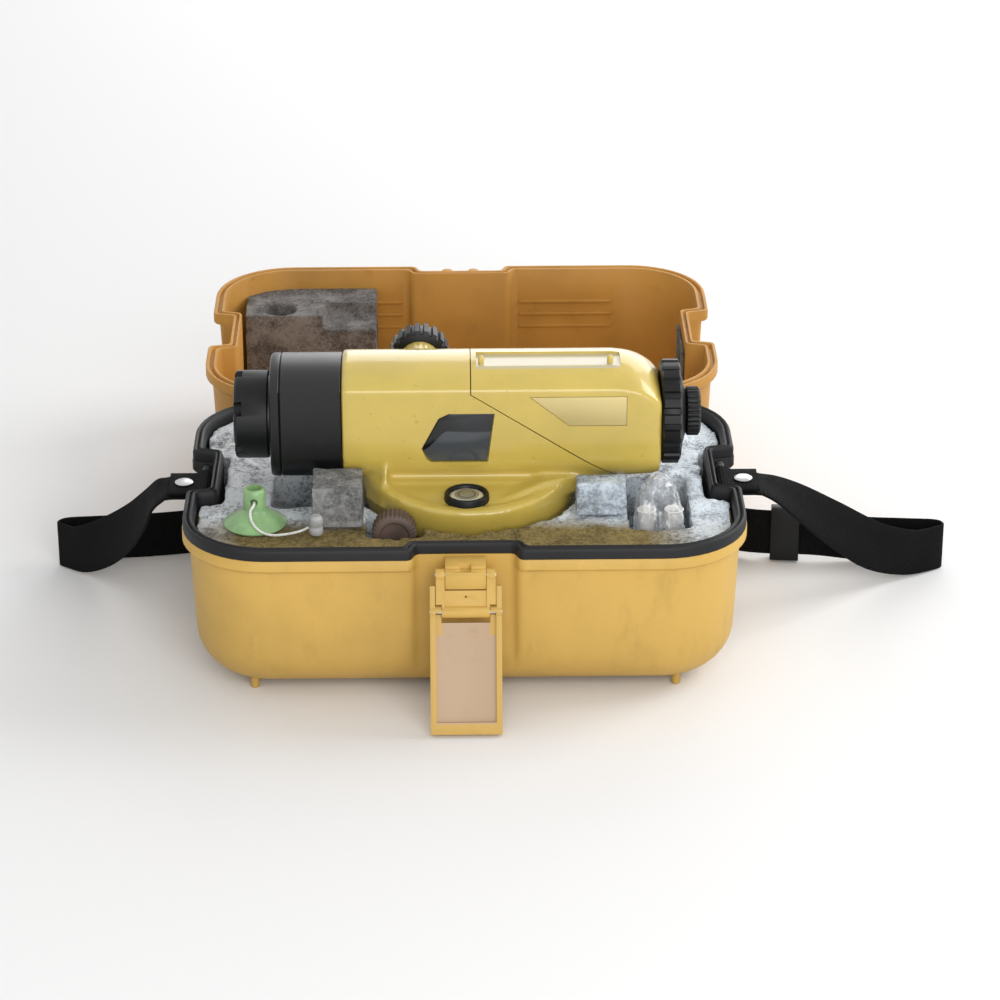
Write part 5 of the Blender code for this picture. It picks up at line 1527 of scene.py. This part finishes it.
class KitCaseSettings(bpy.types.PropertyGroup):
    """Colours and wear of the case and what lies in it."""

    shell_colour: colour_prop("Shell", "Outside of the case", (0.61, 0.38, 0.085))
    # partly the lid's own orange, partly painted shade and bounced orange light
    lid_colour_with_shade: colour_prop("Lid", "Lid of the case", (0.55, 0.275, 0.053))
    latch_panel_colour: colour_prop("Latch panel", "Faded panel of the latch lever",
                                    (0.50, 0.345, 0.215))
    seal_colour: colour_prop("Seal", "Rubber seal on the rim", (0.0085, 0.0088, 0.0105))
    foam_colour: colour_prop("Foam", "Torn foam bed", (0.76, 0.83, 0.94))
    foam_dust_colour: colour_prop("Foam dust", "Dusty front of the foam bed",
                                  (0.23, 0.175, 0.07))
    pillar_dark_colour: colour_prop("Left pillar", "Foam pillar by the barrel",
                                    (0.25, 0.25, 0.245))
    pillar_pale_colour: colour_prop("Right pillar", "Foam pillar by the eyepiece",
                                    (0.52, 0.59, 0.67))
    lid_foam_colour: colour_prop("Lid foam", "Foam block in the lid", (0.20, 0.188, 0.18))
    strap_colour: colour_prop("Strap", "Woven shoulder strap", (0.0018, 0.0019, 0.0022))
    cup_colour: colour_prop("Cup", "Rubber suction cup", (0.28, 0.48, 0.21))
    foam_tear: amount_prop("Foam tear", "Depth of the torn foam face", 0.004, max=0.01,
                           unit="LENGTH")


class KitLevelSettings(bpy.types.PropertyGroup):
    """Colours and joint line of the level."""

    body_colour: colour_prop("Body", "Enamel of the housing", (0.60, 0.445, 0.082))
    label_colour: colour_prop("Label", "Bare label plate", (0.68, 0.55, 0.24))
    black_colour: colour_prop("Black", "Barrel, cap and eyepiece", (0.0045, 0.0048, 0.0058))
    knob_colour: colour_prop("Knob", "Slow motion knobs", (0.125, 0.080, 0.064))
    joint_gap: amount_prop("Joint line", "Gap along the rear cover", 0.0006, 0.0001,
                           max=0.002, unit="LENGTH")


class KitStageSettings(bpy.types.PropertyGroup):
    """Floor and light."""

    floor_colour: colour_prop("Floor", "Pale floor", (0.88, 0.88, 0.88))
    key_power: amount_prop("Key light", "Power of the light at the right", 18.0,
                           subtype="POWER")
    fill_power: amount_prop("Fill light", "Power of the front light", 24.0,
                            subtype="POWER")
    back_power: amount_prop("Back light", "Power of the light behind", 15.0,
                            subtype="POWER")
    sky: amount_prop("Room light", "Strength of the even room light", 0.59, max=2.0)


# ------------------------------------------------------------------- operators

class KIT_OT_case(bpy.types.Operator):
    """Make the tub, lid and seal of the case"""

    bl_idname = "kit.case"
    bl_label = "Case"

    def execute(self, context):
        finish_piece(make_tub(), "shell", "case", "case_shell", "case_tub")
        finish_piece(make_lid(), "lid", "lid", "case_shell", "case_lid")
        finish_piece(make_seal(), "rubber", "case", "seal_rubber", "rim_seal")
        return {"FINISHED"}


class KIT_OT_latch(bpy.types.Operator):
    """Make the latch link and lever"""

    bl_idname = "kit.latch"
    bl_label = "Latch"

    def execute(self, context):
        finish_piece(make_link(), "shell", "latch_link", "case_shell", "latch_link")
        finish_piece(make_lever(), "latch", "latch_lever", "case_shell", "latch_lever")
        return {"FINISHED"}


class KIT_OT_foam(bpy.types.Operator):
    """Make the foam bed, the pillars and the foam in the lid"""

    bl_idname = "kit.foam"
    bl_label = "Foam"

    def execute(self, context):
        tear = context.scene.kit_case.foam_tear / MM
        finish_piece(make_foam(tear), "foam", "case", "foam_grey", "foam_insert")
        finish_piece(make_pillar("pillar_left", PILLAR_LEFT, tear), "pillar_dark",
                     "case", "foam_brown", "foam_pillar_left")
        finish_piece(make_pillar("pillar_right", PILLAR_RIGHT, tear),
                     "pillar_pale", "case", "foam_brown", "foam_pillar_right")
        finish_piece(make_lid_block(tear), "lid_foam", "lid", "foam_brown",
                     "lid_foam_block")
        finish_piece(make_lid_pad(), "lid_foam", "lid", "foam_brown", "lid_foam_pad")
        return {"FINISHED"}


class KIT_OT_level(bpy.types.Operator):
    """Make the level's housing, barrel, cap and eyepiece"""

    bl_idname = "kit.level"
    bl_label = "Level"

    def execute(self, context):
        centre = (LEVEL_Y, AXIS_Z)
        housing, cover = make_housing(context.scene.kit_level.joint_gap / MM)
        finish_piece(housing, "paint", "level", "level_paint", "main_housing")
        finish_piece(cover, "paint", "level", "level_paint", "rear_cover")
        barrel, ring, cap = make_barrel()
        finish_piece(barrel, "black_enamel", "level", "black_paint", "objective_barrel")
        finish_piece(ring, "black_enamel", "level", "black_paint", "barrel_front_ring")
        finish_piece(cap, "black_plastic", "lens_cap", "black_plastic", "lens_cap")
        eye = ribbed("eyepiece_grip", "x", centre, EYE_RING_R, 1.4, BODY_X1 + 0.3,
                     EYE_RING_X1, 20, 12.0)
        finish_piece(shade(eye, 35), "black_plastic", "level", "black_plastic",
                     "eyepiece_ring")
        diopter = ribbed("diopter_grip", "x", centre, DIOPTER_R, 0.9, DIOPTER_X0,
                         DIOPTER_X1, 28, 8.8, ROUND_RIB)
        finish_piece(shade(diopter, 35), "black_plastic", "diopter",
                     "black_plastic", "diopter_ring")
        return {"FINISHED"}


class KIT_OT_knobs(bpy.types.Operator):
    """Make the focus knob and the two slow motion knobs"""

    bl_idname = "kit.knobs"
    bl_label = "Knobs"

    def execute(self, context):
        focus = ribbed("focus_grip", "y", FOCUS, FOCUS_R, 1.6, FOCUS_Y0, FOCUS_Y1, 20,
                       0.0, SQUARE_RIB, 1.2)
        cut(focus, rod("socket", "y", FOCUS, SHAFT_ROOM, FOCUS_Y0 - 2, 40, 24))
        finish_piece(shade(focus, 35), "black_plastic", "focus", "black_plastic",
                     "focus_knob")
        for word, sign in (("near", -1), ("far", 1)):
            a = LEVEL_Y + sign * (TANGENT_IN + 0.3)
            b = LEVEL_Y + sign * TANGENT_OUT
            knob = ribbed("slow_grip_" + word, "y", TANGENT, TANGENT_R, 1.0, a, b, 30,
                          0.0, ROUND_RIB, 1.0)
            low, high = sorted((a - sign * 2, LEVEL_Y + sign * (TANGENT_OUT - 7)))
            cut(knob, rod("socket", "y", TANGENT, SHAFT_ROOM, low, high, 24))
            finish_piece(shade(knob, 35), "knob_brown", "tangent", "knob_brown",
                         "tangent_knob_" + word)
        return {"FINISHED"}


class KIT_OT_bubble(bpy.types.Operator):
    """Make the circular level's bezel and vial, the window and the label"""

    bl_idname = "kit.bubble"
    bl_label = "Circular level"

    def execute(self, context):
        low = BUBBLE_Z - 4.7
        bezel = lathe("vial_bezel", "z", BUBBLE,
                      [(BEZEL_R, low), (BEZEL_R, BUBBLE_Z + 0.9),
                       (BEZEL_R - 0.4, BUBBLE_Z + 1.7), (BEZEL_R - 1.2, BUBBLE_Z + 2.0),
                       (BEZEL_R - 2.0, BUBBLE_Z + 1.7), (BUBBLE_R + 0.3, BUBBLE_Z + 1.0),
                       (BUBBLE_R + 0.3, low)], 64, bore=True)
        finish_piece(shade(bezel, 50), "black_plastic", "level", "black_plastic",
                     "bubble_bezel")
        vial = lathe("vial_cap", "z", BUBBLE,
                     [(BUBBLE_R, low), (BUBBLE_R, BUBBLE_Z - 0.2),
                      (BUBBLE_R * 0.9, BUBBLE_Z + 0.3), (BUBBLE_R * 0.6, BUBBLE_Z + 0.7),
                      (BUBBLE_R * 0.3, BUBBLE_Z + 0.85), (0.4, BUBBLE_Z + 0.9)], 64)
        finish_piece(shade(vial, 50), "vial", "level", "glass", "bubble_vial")
        wall = LEVEL_Y - BODY_HALF
        glass = side_shape("window_glass", window_outline(0.6), wall + 1.2, wall + 3.3)
        finish_piece(shade(round_edges(glass, 0.4)), "mirror", "level",
                     "mirror_glass", "bubble_mirror")
        label = side_shape("label_plate", label_outline(0.0), wall - 0.2, wall + 0.6)
        finish_piece(shade(round_edges(label, 0.25)), "label", "level",
                     "level_paint", "name_plate")
        return {"FINISHED"}


class KIT_OT_strap(bpy.types.Operator):
    """Make the shoulder strap, its slider and its rivets"""

    bl_idname = "kit.strap"
    bl_label = "Strap"

    def execute(self, context):
        route = strap_loop(1) + strap_path() + list(reversed(strap_loop(-1)))
        strap, walked = ribbon("strap_webbing", route, STRAP_HALF, STRAP_T)
        finish_piece(shade(strap, 60), "webbing", "case", "webbing", "shoulder_strap")
        low = FLOOR + STRAP_HALF + SLIDER_LIFT
        out = CASE_HALF
        up = (0, 0, 1)
        slider, _ = ribbon("slider_frame", [((out + 47.0, 78.9, low), up),
                                            ((out + 29.0, 80.8, low), up)],
                           STRAP_HALF + 3.4, 8.0)
        throat, _ = ribbon("throat", [((out + 57.0, 77.8, low), up),
                                      ((out + 19.0, 81.9, low), up)],
                           STRAP_HALF + 0.8, 4.2)
        cut(slider, throat)
        finish_piece(shade(round_edges(slider, 0.6)), "black_plastic", "case",
                     "black_plastic", "strap_slider")
        for side, word in ((-1, "left"), (1, "right")):
            rivet = lathe("rivet_" + word, "z", (side * RIVET_X, NOTCH_Y),
                          [(RIVET_R * 0.8, BAR_Z - 3.9), (RIVET_R, BAR_Z - 3.4),
                           (RIVET_R, BAR_Z - 2.5), (2.2, BAR_Z - 2.5),
                           (2.2, BAR_Z + 2.5), (RIVET_R, BAR_Z + 2.5),
                           (RIVET_R, BAR_Z + 3.0), (RIVET_R * 0.8, BAR_Z + 3.6),
                           (RIVET_R * 0.4, BAR_Z + 3.95), (0.5, BAR_Z + 4.0)], 40)
            finish_piece(shade(rivet, 35), "steel", "case", "steel",
                                       "strap_rivet_" + word)
        return {"FINISHED"}


class KIT_OT_cup(bpy.types.Operator):
    """Make the suction cup, its cord and its toggle"""

    bl_idname = "kit.cup"
    bl_label = "Suction cup"

    def execute(self, context):
        low = ON_FOAM
        cx, cy = CUP
        cup = lathe("cup_body", "z", CUP,
                    [(CUP_R - 1.4, low), (CUP_R - 0.4, low + 0.3), (CUP_R, low + 1.1),
                     (CUP_R - 0.9, low + 1.9), (14.6, low + 3.8), (11.4, low + 6.0),
                     (8.6, low + 7.9), (7.0, low + 9.2), (CUP_NECK_R, low + 10.4),
                     (CUP_NECK_R, CUP_TOP - 1.6), (CUP_NECK_R - 0.5, CUP_TOP - 0.6),
                     (CUP_NECK_R - 1.4, CUP_TOP)], 72)
        cut(cup, rod("bore", "z", CUP, CUP_NECK_R - CUP_WALL, CUP_TOP - CUP_BORE,
                     CUP_TOP + 3, 40))
        cut(cup, rod("eyelet", "y", (cx, EYELET_Z), EYELET_R, cy - 9, cy + 9, 32))
        finish_piece(shade(cup, 45), "cup", "case", "cup_green", "suction_cup")
        route = [(cx + x, cy + y, z) for x, y, z in CORD_ROUTE]
        line = curve_through(route, 8)
        cord = shade(tube_along("cup_string", line, CORD_R), 60)
        finish_piece(cord, "cord", "case", "cord_white", "cup_cord")
        toggle = lathe("toggle_body", "z", (cx + TOGGLE[0], cy + TOGGLE[1]),
                       [(3.0, low), (3.7, low + 0.4), (4.0, low + 1.2), (4.0, low + 4.4),
                        (3.6, low + 5.0), (3.6, low + 6.0), (4.0, low + 6.6),
                        (4.0, low + 9.8), (3.6, low + 11.0), (2.6, low + 12.0)], 40)
        finish_piece(shade(toggle, 40), "grey_plastic", "case", "grey_plastic",
                     "cord_toggle")
        length = sum((b - a).length for a, b in zip(line, line[1:])) * MM
        [tuple(p * MM) for p in line]
        return {"FINISHED"}


class KIT_OT_bag(bpy.types.Operator):
    """Make the crumpled bag of spares in the foam pocket"""

    bl_idname = "kit.bag"
    bl_label = "Spares bag"

    def execute(self, context):
        x0, x1, y0, _, z0 = POCKET
        rows = ((z0 + 0.6, 5.0), (z0 + 4, 3.0), (z0 + 12, 2.6), (82.0, 2.6), (92.0, 3.6),
                (98.0, 5.2), (104.0, 7.2), (109.0, 9.4), (113.0, 11.4), (115.6, 14.0))
        rings = []
        for z, shrink in rows:
            left, right = x0 + shrink, x1 - shrink
            front, back = y0 + shrink, BAG_BACK - shrink
            edge = rounded([(left, front, 4), (right, front, 4), (right, back, 4),
                            (left, back, 4)])
            rings.append([(x, y, z) for x, y in edge])
        bag = loft("bag_film", rings)
        remesh(bag, 1.3, 2)

        def crumple(place, normal):
            spot = Vector(place) / 9.0
            fold = 1 - abs(noise.noise(spot)) * 2.2
            crease = 1 - abs(noise.noise(spot * 2.3 + Vector((5.0, 2.0, 8.0)))) * 2.0
            return max(0.0, 1.6 - 1.2 * fold ** 2 - 0.6 * crease)

        finish_piece(shade(sink(bag, crumple), 50), "film", "case", "clear_film",
                     "spares_bag")
        for word, x, y in (("left", 106.5, -57.0), ("right", 122.5, -57.0)):
            item = lathe("spare_" + word, "z", (x, y),
                         [(3.4, z0 + 8), (3.8, z0 + 9), (5.4, 95.0), (5.8, 95.6),
                          (5.2, 96.0), (4.6, 95.0), (3.2, z0 + 10)], 40)
            finish_piece(shade(item, 40), "paper", "case", "clear_film")
        return {"FINISHED"}


KEPT_FINISHES = {
    "steel": ("hinge_pin", "latch_link_pin", "latch_lever_pin", "strap_bar_left",
              "strap_bar_right", "tangent_shaft", "spindle", "compensator_pivot"),
    "brass": ("focus_pinion", "focus_rack", "bearing_bush", "drive_ring"),
    "alloy": ("focus_lens_cell", "focus_guide", "compensator_frame", "reticle_cell",
              "base_plate", "horizontal_circle"),
    "glass": ("objective_lens", "focus_lens", "compensator_prism", "reticle_glass",
              "eyepiece_lens"),
    "black_enamel": ("tribrach",),
    "black_plastic": ("eyepiece_cone", "footscrew_1", "footscrew_2", "footscrew_3"),
}


class KIT_OT_inner_parts(bpy.types.Operator):
    """Give the pins, optics, foot and bearings their finishes"""

    bl_idname = "kit.inner_parts"
    bl_label = "Pins, optics and foot"

    def execute(self, context):
        for finish, names in KEPT_FINISHES.items():
            for name in names:
                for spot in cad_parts[name].material_slots:
                    spot.material = KitFinishes.get(finish)
        return {"FINISHED"}


class KIT_OT_stage(bpy.types.Operator):
    """Set the floor, the lights and the photograph's camera"""

    bl_idname = "kit.stage"
    bl_label = "Stage"

    def execute(self, context):
        scene = context.scene
        stage = scene.kit_stage
        scene.view_settings.view_transform = "Standard"
        self.floor(stage)
        for name, (place, size) in LAMPS.items():
            self.lamp(name, place, size, getattr(stage, name + "_power"))
        self.room(scene, stage.sky)
        self.camera(scene)
        return {"FINISHED"}

    def floor(self, stage):
        ground = block("floor", -FLOOR_HALF, FLOOR_HALF, -FLOOR_HALF, FLOOR_HALF,
                       FLOOR - FLOOR_T, FLOOR)
        looks = Looks("floor_paper")
        grain = looks.noise(300.0, 3.0)
        colour = stage.floor_colour
        looks.set(Base_Color=looks.mix(tint(colour, 0.985), colour, grain),
                  Roughness=0.9, Specular_IOR_Level=0.1)
        ground.data.materials.append(looks.material)

    def lamp(self, name, place, size, power):
        lamp = bpy.data.lights.new(name, "AREA")
        lamp.shape = "SQUARE"
        lamp.size = size
        lamp.energy = power
        item = bpy.data.objects.new(name, lamp)
        item.location = place
        aim = Vector(LAMP_AIM) - Vector(place)
        item.rotation_euler = aim.to_track_quat("-Z", "Y").to_euler()
        bpy.context.scene.collection.objects.link(item)

    def room(self, scene, strength):
        world = bpy.data.worlds.new("room")
        scene.world = world
        room = Tree(world)
        base = room.tree.nodes["Background"]
        room.feed(base.inputs["Color"], (1.0, 1.0, 1.0))
        room.feed(base.inputs["Strength"], strength)
        wall = room.node("ShaderNodeBackground", {}, {"Color": WALL_SEEN})
        path = room.node("ShaderNodeLightPath").outputs
        seen = room.maths("MAXIMUM", path["Is Camera Ray"], path["Is Glossy Ray"])
        seen = room.maths("MAXIMUM", seen, path["Is Transmission Ray"])
        both = room.node("ShaderNodeMixShader", {}, {"Fac": seen})
        room.feed(both.inputs[1], base.outputs[0])
        room.feed(both.inputs[2], wall.outputs[0])
        room.feed(room.tree.nodes["World Output"].inputs["Surface"], both.outputs[0])

    def camera(self, scene):
        view = bpy.data.cameras.new("photo_camera")
        view.lens = CAMERA_LENS
        view.sensor_width = SENSOR
        view.clip_end = 50.0
        item = bpy.data.objects.new("photo_camera", view)
        yaw, pitch, roll = (math.radians(a) for a in
                            (CAMERA_YAW, CAMERA_PITCH, CAMERA_ROLL))
        ahead = Vector((math.sin(yaw) * math.cos(pitch), math.cos(yaw) * math.cos(pitch),
                        -math.sin(pitch)))
        level = Vector((math.cos(yaw), -math.sin(yaw), 0.0))
        upward = level.cross(ahead)
        right = level * math.cos(roll) + upward * math.sin(roll)
        top = upward * math.cos(roll) - level * math.sin(roll)
        turn = Matrix((right, top, -ahead)).transposed().to_4x4()
        item.matrix_world = Matrix.Translation(Vector(CAMERA_PLACE) * MM) @ turn
        scene.collection.objects.link(item)
        scene.camera = item


STEPS = (KIT_OT_case, KIT_OT_latch, KIT_OT_foam, KIT_OT_level, KIT_OT_knobs,
         KIT_OT_bubble, KIT_OT_strap, KIT_OT_cup, KIT_OT_bag, KIT_OT_inner_parts,
         KIT_OT_stage)


class KIT_PT_panel(bpy.types.Panel):
    bl_idname = "KIT_PT_panel"
    bl_label = "Level kit"
    bl_space_type = "VIEW_3D"
    bl_region_type = "UI"
    bl_category = "Level kit"

    def draw(self, context):
        for word in ("kit_case", "kit_level", "kit_stage"):
            group = getattr(context.scene, word)
            box = self.layout.box()
            for setting in group.__annotations__:
                box.prop(group, setting)
        for step in STEPS:
            self.layout.operator(step.bl_idname)


SETTINGS = (("kit_case", KitCaseSettings), ("kit_level", KitLevelSettings),
            ("kit_stage", KitStageSettings))


def register():
    for word, group in SETTINGS:
        bpy.utils.register_class(group)
        setattr(bpy.types.Scene, word, PointerProperty(type=group))
    for made in (*STEPS, KIT_PT_panel):
        bpy.utils.register_class(made)


def unregister():
    for made in reversed((*STEPS, KIT_PT_panel)):
        bpy.utils.unregister_class(made)
    for word, group in reversed(SETTINGS):
        delattr(bpy.types.Scene, word)
        bpy.utils.unregister_class(group)


def main():
    """Dress the whole kit."""
    register()
    for step in STEPS:
        group, word = step.bl_idname.split(".")
        getattr(getattr(bpy.ops, group), word)()


if __name__ == "__main__":
    main()
